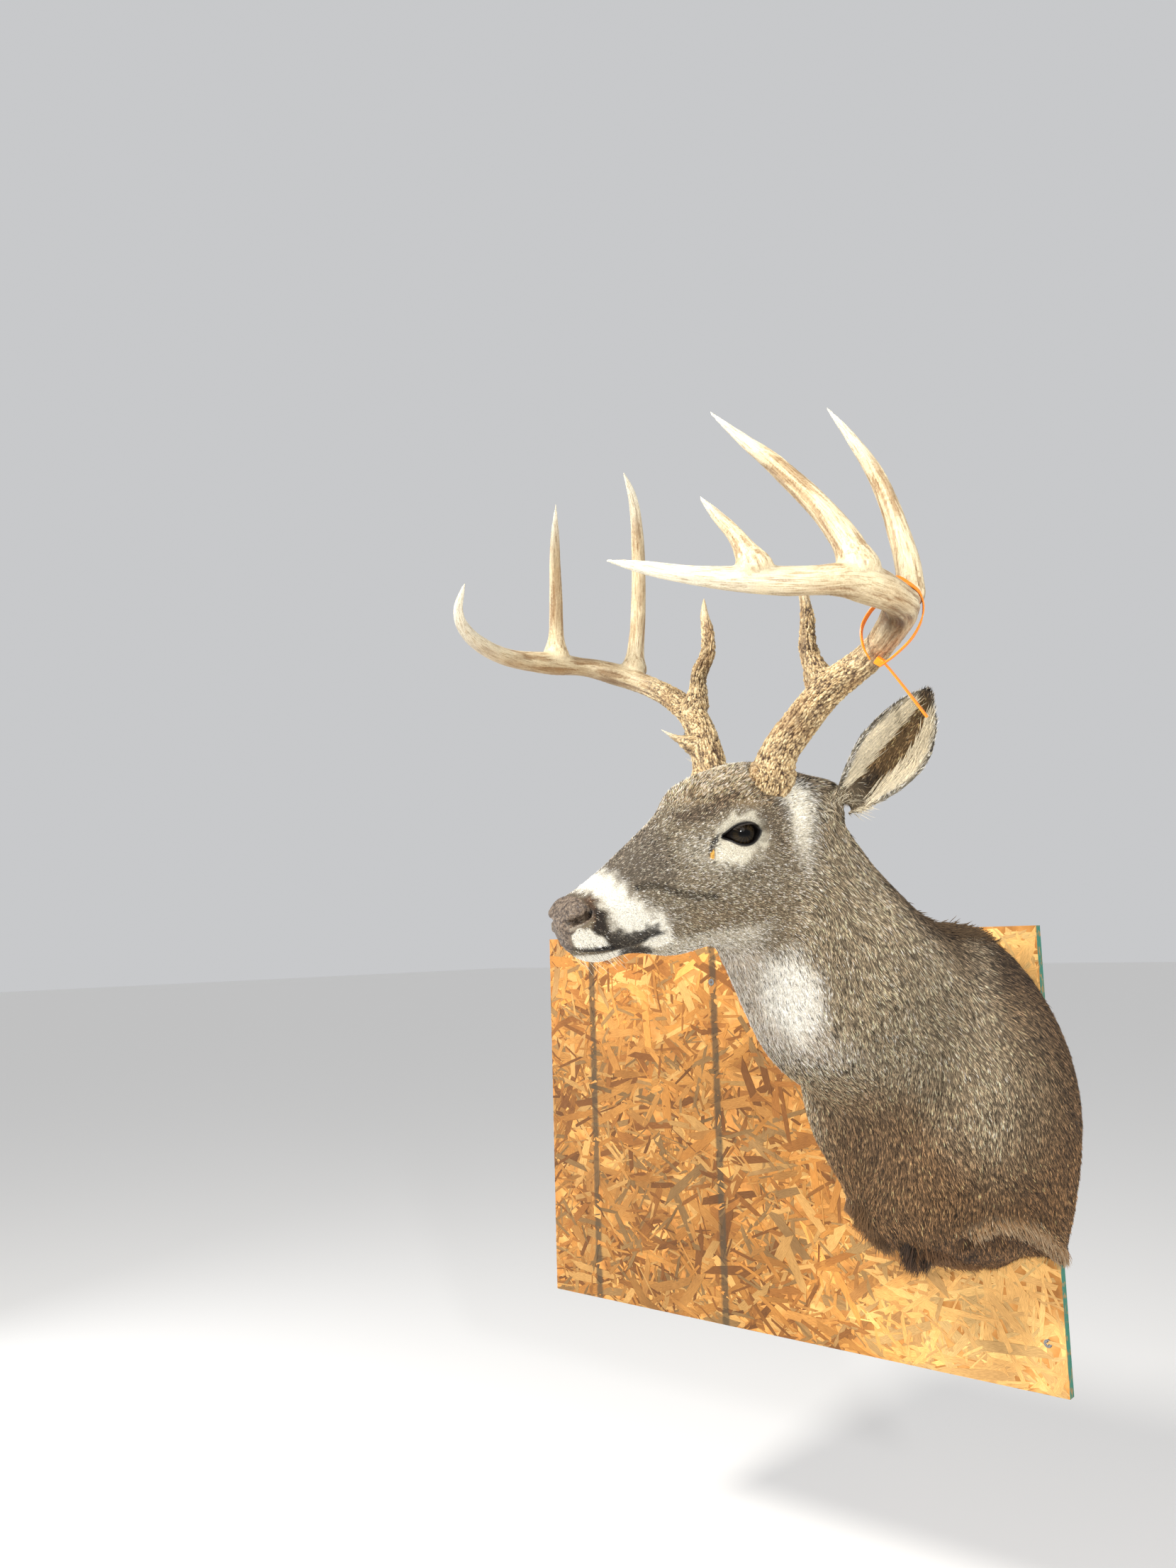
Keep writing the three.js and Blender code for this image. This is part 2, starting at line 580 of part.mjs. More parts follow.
let boardSolid = toSolid(new THREE.BoxGeometry(BOARD.width, BOARD.thickness, BOARD.height)
  .translate(0, -BOARD.thickness / 2, 0));
for (const [name, place] of Object.entries(SCREW_PLACES)) {
  boardSolid = boardSolid.subtract(toSolid(screwBody(place, GAP)));
  addPiece(`screw_${name}`, screw(place), MATERIAL.screw);
}
addPiece("board", toGeometry(boardSolid), MATERIAL.strandBoard);

export default model;
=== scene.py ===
"""A life-size whitetail buck shoulder mount on its panel of strand board, finished over its CAD frame."""

import math

import bpy
import numpy as np
from mathutils import Matrix, Vector, noise
from mathutils.bvhtree import BVHTree
from mathutils.kdtree import KDTree


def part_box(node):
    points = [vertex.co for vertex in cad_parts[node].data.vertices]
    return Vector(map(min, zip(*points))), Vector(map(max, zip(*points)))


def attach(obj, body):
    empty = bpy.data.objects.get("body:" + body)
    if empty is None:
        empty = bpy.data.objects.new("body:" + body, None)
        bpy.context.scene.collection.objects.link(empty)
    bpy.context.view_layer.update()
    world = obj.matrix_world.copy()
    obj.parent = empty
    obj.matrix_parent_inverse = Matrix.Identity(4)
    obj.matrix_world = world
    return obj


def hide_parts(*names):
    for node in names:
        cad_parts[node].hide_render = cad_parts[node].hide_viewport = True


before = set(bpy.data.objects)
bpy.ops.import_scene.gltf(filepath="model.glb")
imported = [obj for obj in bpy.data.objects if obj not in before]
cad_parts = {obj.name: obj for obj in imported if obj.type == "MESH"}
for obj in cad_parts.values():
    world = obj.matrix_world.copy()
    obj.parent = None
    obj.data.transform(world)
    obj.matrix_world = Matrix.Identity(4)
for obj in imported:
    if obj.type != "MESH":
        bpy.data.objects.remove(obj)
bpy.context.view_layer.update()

bl_info = {
    "name": "Whitetail Shoulder Mount",
    "version": (1, 0, 0),
    "blender": (4, 5, 0),
    "location": "3D View > Sidebar > Buck",
    "description": "Builds the hide, coat, eyes, antlers and board of a mounted whitetail buck",
    "category": "Object",
}

MM = 0.001
LEFT = 1
RIGHT = -1
SIDES = {"left": LEFT, "right": RIGHT}


# ---------------------------------------------------------------- numbers and small helpers
def rotation(axis, degrees):
    return np.array(Matrix.Rotation(math.radians(degrees), 3, axis))


def node_middle(node):
    low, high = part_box(node)
    return (np.array(low) + np.array(high)) / 2


# The head's own frame starts midway between the eyes: x to the nose, y to the buck's left, z up.
HEAD_HEADING = -105.4
NOSE_DOWN = 10.0
HEAD_ROLL = -5.0
HEAD_AXES = rotation("Z", HEAD_HEADING) @ rotation("Y", NOSE_DOWN) @ rotation("X", HEAD_ROLL)
EYE_CENTRE = np.array([-1.6, 38.9, -0.5])
EYE_TURN = 18.0
HEAD_ORIGIN = (
    (node_middle("eye_left") + node_middle("eye_right")) / 2 / MM
    - HEAD_AXES @ (EYE_CENTRE * [1, 0, 1])
)


def from_head(points):
    """Points in the head's frame, in millimetres, to the row frame, in millimetres."""
    return np.asarray(points, float) @ HEAD_AXES.T + HEAD_ORIGIN


def to_head(points):
    return (np.asarray(points, float) - HEAD_ORIGIN) @ HEAD_AXES


def fold_head(points):
    """Points in the head's frame, with its right half mirrored onto the left."""
    half = points.copy()
    half[:, 1] = np.abs(half[:, 1])
    return half


def smooth(low, high, value):
    """Rises smoothly from 0 at low to 1 at high."""
    t = np.clip((np.asarray(value, float) - low) / (high - low), 0, 1)
    return t * t * (3 - 2 * t)


def blend(a, b, share):
    """Mixes rows of numbers, such as colours, by one share for each row."""
    return a + (b - a) * np.asarray(share, float)[:, None]


def between(a, b, share):
    return a + (b - a) * share


def unit(vectors):
    return vectors / np.maximum(np.linalg.norm(vectors, axis=-1, keepdims=True), 1e-9)


def flatten_to(vectors, normals):
    """Drops each vector onto the plane of its normal."""
    return unit(vectors - normals * np.sum(vectors * normals, axis=1, keepdims=True))


def mirrored(line, side):
    return [(x, y * side, z) for x, y, z in line]


def distance_to_line(points, line):
    """Each point's distance to a line of points, and how far along the line it is nearest, 0 to 1."""
    line = np.asarray(line, float)
    steps = np.diff(line, axis=0)
    lengths = np.linalg.norm(steps, axis=1)
    starts = np.concatenate([[0], np.cumsum(lengths)])
    best = np.full(len(points), np.inf)
    place = np.zeros(len(points))
    for start, step, length, before in zip(line, steps, lengths, starts):
        share = np.clip((points - start) @ step / length ** 2, 0, 1)
        gap = np.linalg.norm(points - start - share[:, None] * step, axis=1)
        nearer = gap < best
        best[nearer] = gap[nearer]
        place[nearer] = (before + share[nearer] * length) / starts[-1]
    return best, place


def blotches(points, size, seed=0):
    """Soft random patches of about this size, mostly from 0 to 1."""
    scaled = np.asarray(points, float) / size + seed * 17.31
    return np.array([0.5 + 0.75 * noise.noise(place) for place in scaled.tolist()])


def beads(points, size, seed=0):
    """Rounded grains of about this size: 1 at a grain's middle, 0 between grains."""
    scaled = np.asarray(points, float) / size + seed * 17.31
    gaps = [noise.voronoi(place)[0] for place in scaled.tolist()]
    first, second = np.array([gap[:2] for gap in gaps]).T
    return smooth(0.02, 0.42, second - first)


def along(keys, t):
    """A value that runs smoothly through (position, value) pairs."""
    places, values = np.array(keys, float).T
    slopes = np.gradient(values, places)
    i = np.clip(np.searchsorted(places, t, side="right") - 1, 0, len(places) - 2)
    span = places[i + 1] - places[i]
    s = np.clip((t - places[i]) / span, 0, 1)
    return (
        (2 * s ** 3 - 3 * s ** 2 + 1) * values[i] + (s ** 3 - 2 * s ** 2 + s) * span * slopes[i]
        + (3 * s ** 2 - 2 * s ** 3) * values[i + 1] + (s ** 3 - s ** 2) * span * slopes[i + 1]
    )


def colour(red, green, blue):
    """A display colour from 0 to 255 as the linear values that a material uses."""
    values = np.array([red, green, blue]) / 255
    return np.where(values <= 0.04045, values / 12.92, ((values + 0.055) / 1.055) ** 2.4)


# ---------------------------------------------------------------- objects and meshes
def select_only(*objects):
    bpy.ops.object.select_all(action="DESELECT")
    for item in objects:
        item.select_set(True)
    bpy.context.view_layer.objects.active = objects[0]


def free_copy(node, name):
    """A copy of a CAD node with its loose triangles merged, free to be reshaped."""
    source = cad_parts[node]
    copy = source.copy()
    copy.data = source.data.copy()
    copy.name = name
    for key in [key for key in copy.keys() if key.startswith("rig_")]:
        del copy[key]
    copy.parent = None
    copy.matrix_world = Matrix.Identity(4)
    bpy.context.scene.collection.objects.link(copy)
    copy.data.materials.clear()
    select_only(copy)
    bpy.ops.object.mode_set(mode="EDIT")
    bpy.ops.mesh.select_all(action="SELECT")
    bpy.ops.mesh.remove_doubles(threshold=0.01 * MM)
    bpy.ops.object.mode_set(mode="OBJECT")
    return copy


def apply_modifier(item, kind, **settings):
    modifier = item.modifiers.new(kind.title(), kind)
    for name, value in settings.items():
        setattr(modifier, name, value)
    select_only(item)
    bpy.ops.object.modifier_apply(modifier=modifier.name)


def points_of(item):
    """The mesh's points in millimetres."""
    flat = np.empty(len(item.data.vertices) * 3)
    item.data.vertices.foreach_get("co", flat)
    return flat.reshape(-1, 3) / MM


def normals_of(item):
    flat = np.empty(len(item.data.vertices) * 3)
    item.data.vertices.foreach_get("normal", flat)
    return flat.reshape(-1, 3)


def set_points(item, points):
    item.data.vertices.foreach_set("co", (points * MM).ravel())
    item.data.update()


def mesh_object(name, points, faces, smoothed=True):
    """An object from points in millimetres and faces of one size."""
    faces = np.asarray(faces, np.int32)
    mesh = bpy.data.meshes.new(name)
    mesh.vertices.add(len(points))
    mesh.vertices.foreach_set("co", (np.asarray(points) * MM).ravel())
    mesh.loops.add(faces.size)
    mesh.loops.foreach_set("vertex_index", faces.ravel())
    mesh.polygons.add(len(faces))
    mesh.polygons.foreach_set("loop_start", np.arange(0, faces.size, faces.shape[1], dtype=np.int32))
    mesh.polygons.foreach_set("use_smooth", np.full(len(faces), smoothed))
    mesh.update(calc_edges=True)
    item = bpy.data.objects.new(name, mesh)
    bpy.context.scene.collection.objects.link(item)
    return item


def paint(item, name, colours):
    """Stores a colour for each point of the mesh."""
    layer = item.data.color_attributes.new(name=name, type="FLOAT_COLOR", domain="POINT")
    rgba = np.ones((len(item.data.vertices), 4), np.float32)
    rgba[:, :3] = colours
    layer.data.foreach_set("color", rgba.ravel())


def store_number(item, name, values):
    layer = item.data.attributes.new(name=name, type="FLOAT", domain="POINT")
    layer.data.foreach_set("value", np.asarray(values, np.float32))


def turn_faces_out(item, fill=False):
    """Turns the mesh's faces outward, and first fills its open ends if asked."""
    select_only(item)
    bpy.ops.object.mode_set(mode="EDIT")
    bpy.ops.mesh.select_all(action="SELECT")
    if fill:
        bpy.ops.mesh.fill_holes(sides=0)
    bpy.ops.mesh.normals_make_consistent(inside=False)
    bpy.ops.object.mode_set(mode="OBJECT")


def join_objects(name, *items):
    select_only(*items)
    bpy.ops.object.join()
    whole = bpy.context.view_layer.objects.active
    whole.name = name
    return whole


def shade_smooth(item):
    select_only(item)
    bpy.ops.object.shade_smooth()


def finish_piece(item, slot, material, *nodes):
    """Gives a piece its finish, hangs it on the root body and hides the CAD nodes it replaces; the slot is
    not used.
    """
    item.data.materials.append(material)
    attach(item, "root")
    if nodes:
        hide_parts(*nodes)


def grid_faces(rows, columns, closed=True):
    """Quads over rows of points laid one row after another."""
    row, column = np.meshgrid(np.arange(rows - 1), np.arange(columns if closed else columns - 1),
                              indexing="ij")
    beside = (column + 1) % columns
    corners = [row * columns + column, row * columns + beside,
               (row + 1) * columns + beside, (row + 1) * columns + column]
    return np.stack(corners, axis=-1).reshape(-1, 4)


# ---------------------------------------------------------------- the body's line and its unwrap
NECK_LINE = [(200, -214, 248), (222, -168, 206), (240, -122, 162), (248, -82, 116), (250, -44, 84),
             (250, -8, 70)]
HEAD_LINE = [(196, 0, -56), (110, 0, -52), (24, 0, -30), (-67, 0, -53)]
SPINE = np.concatenate([from_head(HEAD_LINE), np.array(NECK_LINE, float)])


def resample(line, step):
    """Points at even steps along a line of points, and how far along each one is."""
    line = np.asarray(line, float)
    lengths = np.concatenate([[0], np.cumsum(np.linalg.norm(np.diff(line, axis=0), axis=1))])
    places = np.linspace(0, lengths[-1], max(int(lengths[-1] / step), 2))
    points = np.stack([np.interp(places, lengths, line[:, i]) for i in range(3)], axis=1)
    return points, places


def rounded_line(line, step):
    """A smooth curve through the points (centripetal), at even steps."""
    line = np.asarray(line, float)
    line = np.concatenate([[2 * line[0] - line[1]], line, [2 * line[-1] - line[-2]]])
    pieces = []
    for p0, p1, p2, p3 in zip(line, line[1:], line[2:], line[3:]):
        t1 = np.linalg.norm(p1 - p0) ** 0.5
        t2 = t1 + np.linalg.norm(p2 - p1) ** 0.5
        t3 = t2 + np.linalg.norm(p3 - p2) ** 0.5
        t = np.linspace(t1, t2, 40, endpoint=False)[:, None]
        a1 = (t1 - t) / t1 * p0 + t / t1 * p1
        a2 = (t2 - t) / (t2 - t1) * p1 + (t - t1) / (t2 - t1) * p2
        a3 = (t3 - t) / (t3 - t2) * p2 + (t - t2) / (t3 - t2) * p3
        b1 = (t2 - t) / t2 * a1 + t / t2 * a2
        b2 = (t3 - t) / (t3 - t1) * a2 + (t - t1) / (t3 - t1) * a3
        pieces.append((t2 - t) / (t2 - t1) * b1 + (t - t1) / (t2 - t1) * b2)
    return resample(np.concatenate([*pieces, line[-2:-1]]), step)


SPINE_POINTS, SPINE_PLACES = rounded_line(SPINE, 3.0)
SPINE_AHEAD = unit(np.gradient(SPINE_POINTS, axis=0))
SPINE_SIDE = unit(np.cross(SPINE_AHEAD, [0.0, 0.0, 1.0]))
SPINE_UP = np.cross(SPINE_SIDE, SPINE_AHEAD)


def nearest_samples(points, samples):
    """The index of the nearest sample to each point."""
    tree = KDTree(len(samples))
    for i, sample in enumerate(samples):
        tree.insert(sample, i)
    tree.balance()
    return np.array([tree.find(point)[1] for point in points])


def unwrap_body(points):
    """How far along the spine each point lies, and its angle round it: 0 on top, positive to the right."""
    i = nearest_samples(points, SPINE_POINTS)
    offset = points - SPINE_POINTS[i]
    side = np.sum(offset * SPINE_SIDE[i], axis=1)
    up = np.sum(offset * SPINE_UP[i], axis=1)
    return i, np.arctan2(side, up)


# ---------------------------------------------------------------- ears
EAR = {
    "root": (-109, 77, 14),
    "tip": {"left": (-123, 184, 114), "right": (-132, 176, 96)},
    "opening": (0.89, 0.36, -0.28),
    "bow": 9,
    "sway": 11,
    "half_width": [(0, 33), (0.2, 42), (0.45, 46), (0.7, 37), (0.88, 21), (1, 5)],
    "lower_edge": [(0, 1), (0.2, 0.8), (0.45, 0.76), (0.7, 0.86), (1, 1)],
    "curl": [(0, 2.4), (0.2, 1.8), (0.45, 1.15), (0.7, 0.9), (1, 0.8)],
    "thickness": [(0, 7), (0.5, 6), (1, 3.5)],
}
EAR_ROWS = 56
EAR_COLUMNS = 40


def ear_points(name, t, across, inner):
    """Points on an ear: t from root to tip, across from edge to edge (-0.5 to 0.5), in its hollow or not."""
    side = SIDES[name]
    mirror = np.array([1, side, 1])
    root = np.array(EAR["root"]) * mirror
    tip = np.array(EAR["tip"][name]) * mirror
    axis = unit(tip - root)
    opening = np.array(EAR["opening"]) * mirror
    opening = unit(opening - axis * (opening @ axis))
    sideways = np.cross(axis, opening)
    middle = np.sin(np.pi * t)
    turn = along(EAR["curl"], t)
    radius = along(EAR["half_width"], t) / turn
    wall = np.where(inner, np.minimum(along(EAR["thickness"], t), radius * 0.6), 0)
    depth = radius - wall
    angle = across * 2 * turn * np.where(across * side > 0, along(EAR["lower_edge"], t), 1)
    outward = radius - depth * np.cos(angle) - EAR["bow"] * middle
    sway = depth * np.sin(angle) + side * EAR["sway"] * middle
    return root + t[:, None] * (tip - root) + outward[:, None] * opening + sway[:, None] * sideways


def ear_samples(name):
    """A dense net of points over both faces of an ear, with the place of each one."""
    t, across, inner = np.meshgrid(
        np.linspace(0.03, 1, EAR_ROWS), np.linspace(-0.5, 0.5, EAR_COLUMNS), [0, 1], indexing="ij")
    places = np.stack([t.ravel(), across.ravel(), inner.ravel()], axis=1)
    return ear_points(name, places[:, 0], places[:, 1], places[:, 2] > 0), places


def ear_shell(name):
    """A closed shell for one ear, round the outside and back through the hollow."""
    rows = np.linspace(0.0, 1, EAR_ROWS)
    sweep = np.linspace(-0.5, 0.5, EAR_COLUMNS)
    across = np.concatenate([sweep, sweep[::-1]])
    inner = np.repeat([False, True], EAR_COLUMNS)
    points = np.concatenate([
        ear_points(name, np.full(len(across), t), across, inner) for t in rows])
    shell = mesh_object(f"ear_shell_{name}", from_head(points), grid_faces(EAR_ROWS, len(across)))
    turn_faces_out(shell, fill=True)
    return shell


class EarFinder:
    """Tells which ear, if any, each point belongs to, and where on it the point lies."""

    def __init__(self):
        samples = []
        places = []
        for number, name in enumerate(SIDES):
            points, spots = ear_samples(name)
            samples.append(points)
            places.append(np.column_stack([np.full(len(points), number), spots]))
        self.samples = np.concatenate(samples)
        self.places = np.concatenate(places)

    def find(self, head_points):
        """Columns: share of an ear (0 to 1), which ear, t, across, inner."""
        found = np.zeros((len(head_points), 5))
        near = np.flatnonzero((head_points[:, 0] < -50) & (np.abs(head_points[:, 1]) > 52)
                              & (head_points[:, 2] > -40) & (head_points[:, 0] > -190))
        if len(near) == 0:
            return found
        i = nearest_samples(head_points[near], self.samples)
        gap = np.linalg.norm(head_points[near] - self.samples[i], axis=1)
        found[near, 1:] = self.places[i]
        found[near, 0] = (1 - smooth(5, 10, gap)) * smooth(0.1, 0.24, self.places[i, 1])
        return found


EARS = EarFinder()


# ---------------------------------------------------------------- the face's lines
# In the head's frame for its left side; the right side mirrors them.
NOSTRIL = [(184, 12, -54.6), (182.4, 17, -54), (179.4, 21, -52.3), (175, 23.3, -51.4),
           (170.5, 24.4, -49.6), (167, 23.4, -46.6)]
MOUTH = [(186, 0, -78), (181, 7, -79), (174.5, 14, -80.2), (164, 20.5, -81), (151, 23.5, -82),
         (136, 23.5, -84), (119, 23, -83.5), (106, 24.5, -81.5), (99, 27.5, -79.5), (93, 29.5, -81)]
CHEEK_CREASE = [(116, 30.5, -32.8), (102, 33.6, -33.6), (90, 37, -38.5), (73, 41, -46.5),
                (58, 44, -51), (42, 49, -54)]
TEAR_LINE = [(20, 46, 1), (26, 45, 0), (31.7, 43.7, -3.8), (35.5, 43.2, -8.5), (38, 44.5, -15)]
DUCT_SPOT = [(36.2, 44.8, -10), (37.6, 45, -17.5)]

# Each groove's line, half width, depth and lip; the tear duct is a low mound.
FACE_GROOVES = (
    (CHEEK_CREASE, 3.0, 4.2, 1.6), (TEAR_LINE, 2.2, 1.8, 0.3), (DUCT_SPOT, 1.8, -1.2, 0.0),
    (MOUTH, 2.0, 3.4, 0.5), (NOSTRIL, 3.3, 8.0, 1.6))

UPPER_LID = [(-19.4, -0.5), (-17.2, 2.5), (-13, 5.8), (-7, 8.3), (0, 9.1), (6, 8.2), (11, 5.6),
             (15, 2.3), (18.8, -0.8)]
LOWER_LID = [(-19.4, -0.5), (-17.5, -4.2), (-13, -7.7), (-7, -10), (0, -10.2), (6, -8.4), (11, -5.4),
             (15, -2.9), (18.8, -0.8)]
LID_STATIONS = 40
LID_BALL = 17.3
LID_REACH = (27.0, 19.5)


def eye_axes(side):
    """The middle of an eye and its directions ahead, up and outward, in the head's frame."""
    turn = math.radians(EYE_TURN)
    centre = EYE_CENTRE * [1, side, 1]
    ahead = np.array([math.cos(turn), -side * math.sin(turn), 0])
    outward = np.array([math.sin(turn), side * math.cos(turn), 0])
    return centre, ahead, np.array([0.0, 0.0, 1.0]), outward


def lid_margin():
    """The edge of the lids as (ahead, up) pairs: over the upper lid from the front, back under the lower."""
    upper, _ = rounded_line([(t, u, 0) for t, u in UPPER_LID[::-1]], 0.2)
    lower, _ = rounded_line([(t, u, 0) for t, u in LOWER_LID], 0.2)
    loop = np.concatenate([upper[:-1], lower[:-1]])
    evened, _ = resample(np.concatenate([loop, loop[:1]]), 0.05)
    pick = np.linspace(0, len(evened) - 1, 2 * LID_STATIONS + 1).round().astype(int)[:-1]
    return evened[pick, :2]


def sculpt_groove(points, normals, line, half_width, depth, lip):
    """Presses a groove along a line of the face, with a low lip on each side, on both sides of the head."""
    moved = points.copy()
    for side in SIDES.values():
        gap, place = distance_to_line(points, mirrored(line, side))
        ends = smooth(0, 0.06, place) * (1 - smooth(0.9, 1, place)) * 0.75 + 0.25
        press = (1 - smooth(half_width * 0.25, half_width * 1.3, gap)) * depth
        raised = np.exp(-((gap - half_width * 2.1) / (half_width * 0.9)) ** 2) * lip
        moved += normals * ((raised - press) * ends)[:, None]
    return moved


def subdivide_where(item, chosen):
    """Splits the faces whose points are all chosen."""
    select_only(item)
    bpy.ops.object.mode_set(mode="EDIT")
    bpy.ops.mesh.select_mode(type="FACE")
    bpy.ops.mesh.select_all(action="DESELECT")
    bpy.ops.object.mode_set(mode="OBJECT")
    for polygon in item.data.polygons:
        polygon.select = all(chosen[i] for i in polygon.vertices)
    bpy.ops.object.mode_set(mode="EDIT")
    bpy.ops.mesh.subdivide(number_cuts=1, smoothness=0.6)
    bpy.ops.object.mode_set(mode="OBJECT")


def face_tree(item, points):
    """A tree of the item's faces with its points where they are given, to find places on it."""
    return BVHTree.FromPolygons(points.tolist(), [tuple(p.vertices) for p in item.data.polygons])


LID_ROWS = 15
LID_EDGE = ((1.012, 1.15), (1.0, 0.75), (0.985, 0.3), (0.975, 0.08))
POCKET_PITCHES = (80, 60, 40, 20, 0, -20, -40, -60, -75)


def lid_rings(tree, centre, ahead, up, outward):
    """Rings of points from the skin in over the lids, round their edge, and back behind the ball."""
    margin = lid_margin()
    around = np.arctan2(margin[:, 1] / LID_REACH[1], margin[:, 0] / LID_REACH[0])
    direction = np.stack([np.cos(around), np.sin(around)], axis=1)
    rim = direction * LID_REACH
    rim_out = np.empty(len(margin))
    for i, (t, u) in enumerate(rim):
        start = centre + ahead * t + up * u + outward * 60
        hit = tree.ray_cast(Vector(start), Vector(-outward))[0]
        rim_out[i] = (np.array(hit) - centre) @ outward
    margin_reach = np.linalg.norm(margin, axis=1)
    margin_out = np.sqrt(np.maximum(LID_BALL ** 2 - margin_reach ** 2, 0))
    corner = smooth(13.5, 17.5, margin_reach)
    margin_out = margin_out * (1 - corner) + np.maximum(margin_out, 6.2) * corner

    rings = []
    for share in np.linspace(0, 1, LID_ROWS)[:-1]:
        flat = rim + (margin - rim) * share
        over_ball = np.sqrt(np.maximum((LID_BALL + 2.4) ** 2 - np.sum(flat ** 2, axis=1), 0))
        straight = rim_out + (margin_out + 1.3 - rim_out) * share
        rise = np.maximum(over_ball - straight, 0) * smooth(0.1, 0.75, share)
        crease = 0.9 * np.exp(-((share - 0.72) / 0.07) ** 2) * np.where(margin[:, 1] > 0, 1, 0.6)
        rings.append((flat, straight + rise - crease))
    for grow, lift in LID_EDGE:
        rings.append((margin * grow, margin_out + lift))
    ball = LID_BALL + 0.15
    for pitch in POCKET_PITCHES:
        angle = math.radians(pitch)
        widest = np.maximum(ball, margin_reach * 0.99) if pitch > -10 else np.full(len(margin), ball)
        out = np.full(len(margin), math.sin(angle) * ball)
        if pitch <= 0 or np.all(out <= margin_out - 0.5):
            rings.append((direction * (math.cos(angle) * widest)[:, None], out))
    return [centre + flat[:, :1] * ahead + flat[:, 1:] * up + out[:, None] * outward
            for flat, out in rings]


def cut_round_eye(item, centre, ahead, up, outward):
    """Takes away the skin that lies over an eye."""
    points = to_head(points_of(item)) - centre
    inside = ((points @ ahead / LID_REACH[0]) ** 2 + (points @ up / LID_REACH[1]) ** 2) < 1.03
    inside &= (points @ outward > -17) & (np.linalg.norm(points, axis=1) < 45)
    select_only(item)
    bpy.ops.object.mode_set(mode="EDIT")
    bpy.ops.mesh.select_mode(type="VERT")
    bpy.ops.mesh.select_all(action="DESELECT")
    bpy.ops.object.mode_set(mode="OBJECT")
    item.data.vertices.foreach_set("select", inside)
    bpy.ops.object.mode_set(mode="EDIT")
    bpy.ops.mesh.delete(type="VERT")
    bpy.ops.object.mode_set(mode="OBJECT")


def fit_lids(item, side):
    """Cuts the skin round an eye and puts in lids that lie on the ball, with a pocket behind it."""
    centre, ahead, up, outward = eye_axes(side)
    tree = face_tree(item, to_head(points_of(item)))
    rings = lid_rings(tree, centre, ahead, up, outward)
    faces = grid_faces(len(rings), len(rings[0]))
    patch = mesh_object("lids", from_head(np.concatenate(rings)), faces)
    cut_round_eye(item, centre, ahead, up, outward)
    select_only(item, patch)
    bpy.ops.object.join()
    bpy.ops.object.mode_set(mode="EDIT")
    bpy.ops.mesh.select_mode(type="EDGE")
    bpy.ops.mesh.select_all(action="DESELECT")
    bpy.ops.mesh.select_non_manifold(extend=False, use_wire=False, use_boundary=True,
                                     use_multi_face=False, use_non_contiguous=False,
                                     use_verts=False)
    bpy.ops.object.mode_set(mode="OBJECT")
    front = (to_head(points_of(item)) - centre) @ outward > -8
    for edge in item.data.edges:
        edge.select = edge.select and all(front[i] for i in edge.vertices)
    bpy.ops.object.mode_set(mode="EDIT")
    bpy.ops.mesh.bridge_edge_loops()
    bpy.ops.mesh.select_all(action="SELECT")
    bpy.ops.mesh.fill_holes(sides=0)
    bpy.ops.mesh.delete_loose()
    bpy.ops.object.mode_set(mode="OBJECT")
    turn_faces_out(item)


# ---------------------------------------------------------------- markings, with painted light and shade
def outline_gap(points, outline):
    """How far inside a closed flat outline each point is; negative outside it."""
    outline = np.asarray(outline, float)
    gap = np.full(len(points), np.inf)
    inside = np.zeros(len(points), bool)
    x, y = points.T
    for (x0, y0), (x1, y1) in zip(outline, np.roll(outline, -1, axis=0)):
        step = np.array([x1 - x0, y1 - y0])
        share = np.clip(((x - x0) * step[0] + (y - y0) * step[1]) / (step @ step), 0, 1)
        gap = np.minimum(gap, np.hypot(x - x0 - share * step[0], y - y0 - share * step[1]))
        crosses = (y0 > y) != (y1 > y)
        meet = x0 + (y - y0) / (y1 - y0 if y1 != y0 else 1) * (x1 - x0)
        inside ^= crosses & (x < meet)
    return np.where(inside, gap, -gap)


def inside_outline(points, outline, softness):
    return smooth(-softness, softness, outline_gap(points, outline))


def lid_gap(points):
    """How far outside the opening between the lids each point is; large away from the eyes."""
    centre, ahead, up, outward = eye_axes(LEFT)
    offset = fold_head(points) - centre
    gap = np.full(len(points), 99.0)
    near = np.flatnonzero((np.abs(offset @ ahead) < 30) & (np.abs(offset @ up) < 24)
                          & (offset @ outward > -3))
    flat = np.column_stack([offset[near] @ ahead, offset[near] @ up])
    gap[near] = -outline_gap(flat, lid_margin()[::2])
    return gap


def near_line(points, line, near, far):
    """1 on a line, falling to 0 at the far distance from it."""
    return 1 - smooth(near, far, distance_to_line(points, line)[0])


def near_ball(points, centre, radii):
    reach = np.linalg.norm((points - centre) / radii, axis=1)
    return 1 - smooth(0.55, 1.15, reach)


COAT_COLOURS = {
    "neck": colour(144, 127, 102),
    "nape": colour(54, 41, 28),
    "shoulder": colour(100, 81, 58),
    "side": colour(80, 61, 42),
    "chest": colour(110, 80, 49),
    "throat": colour(234, 229, 217),
    "throat_front": colour(208, 194, 176),
    "streak": colour(154, 137, 112),
    "brisket": colour(74, 49, 28),
    "cheek": colour(140, 125, 101),
    "jaw": colour(134, 116, 90),
    "jaw_under": colour(200, 190, 168),
    "gold": colour(176, 148, 106),
    "brow": colour(74, 57, 41),
    "bridge": colour(108, 97, 83),
    "white": colour(238, 233, 218),
    "ring": colour(214, 207, 187),
    "cream": colour(224, 217, 198),
    "pale": colour(190, 182, 162),
    "black": colour(34, 27, 21),
    "brown": colour(98, 72, 50),
    "nose": colour(84, 68, 56),
    "lip": colour(24, 18, 15),
    "duct": colour(214, 160, 66),
    "ear_back": colour(112, 100, 82),
    "ear_tip": colour(44, 36, 29),
    "ear_hollow": colour(106, 80, 44),
    "ear_hair": colour(186, 175, 151),
}

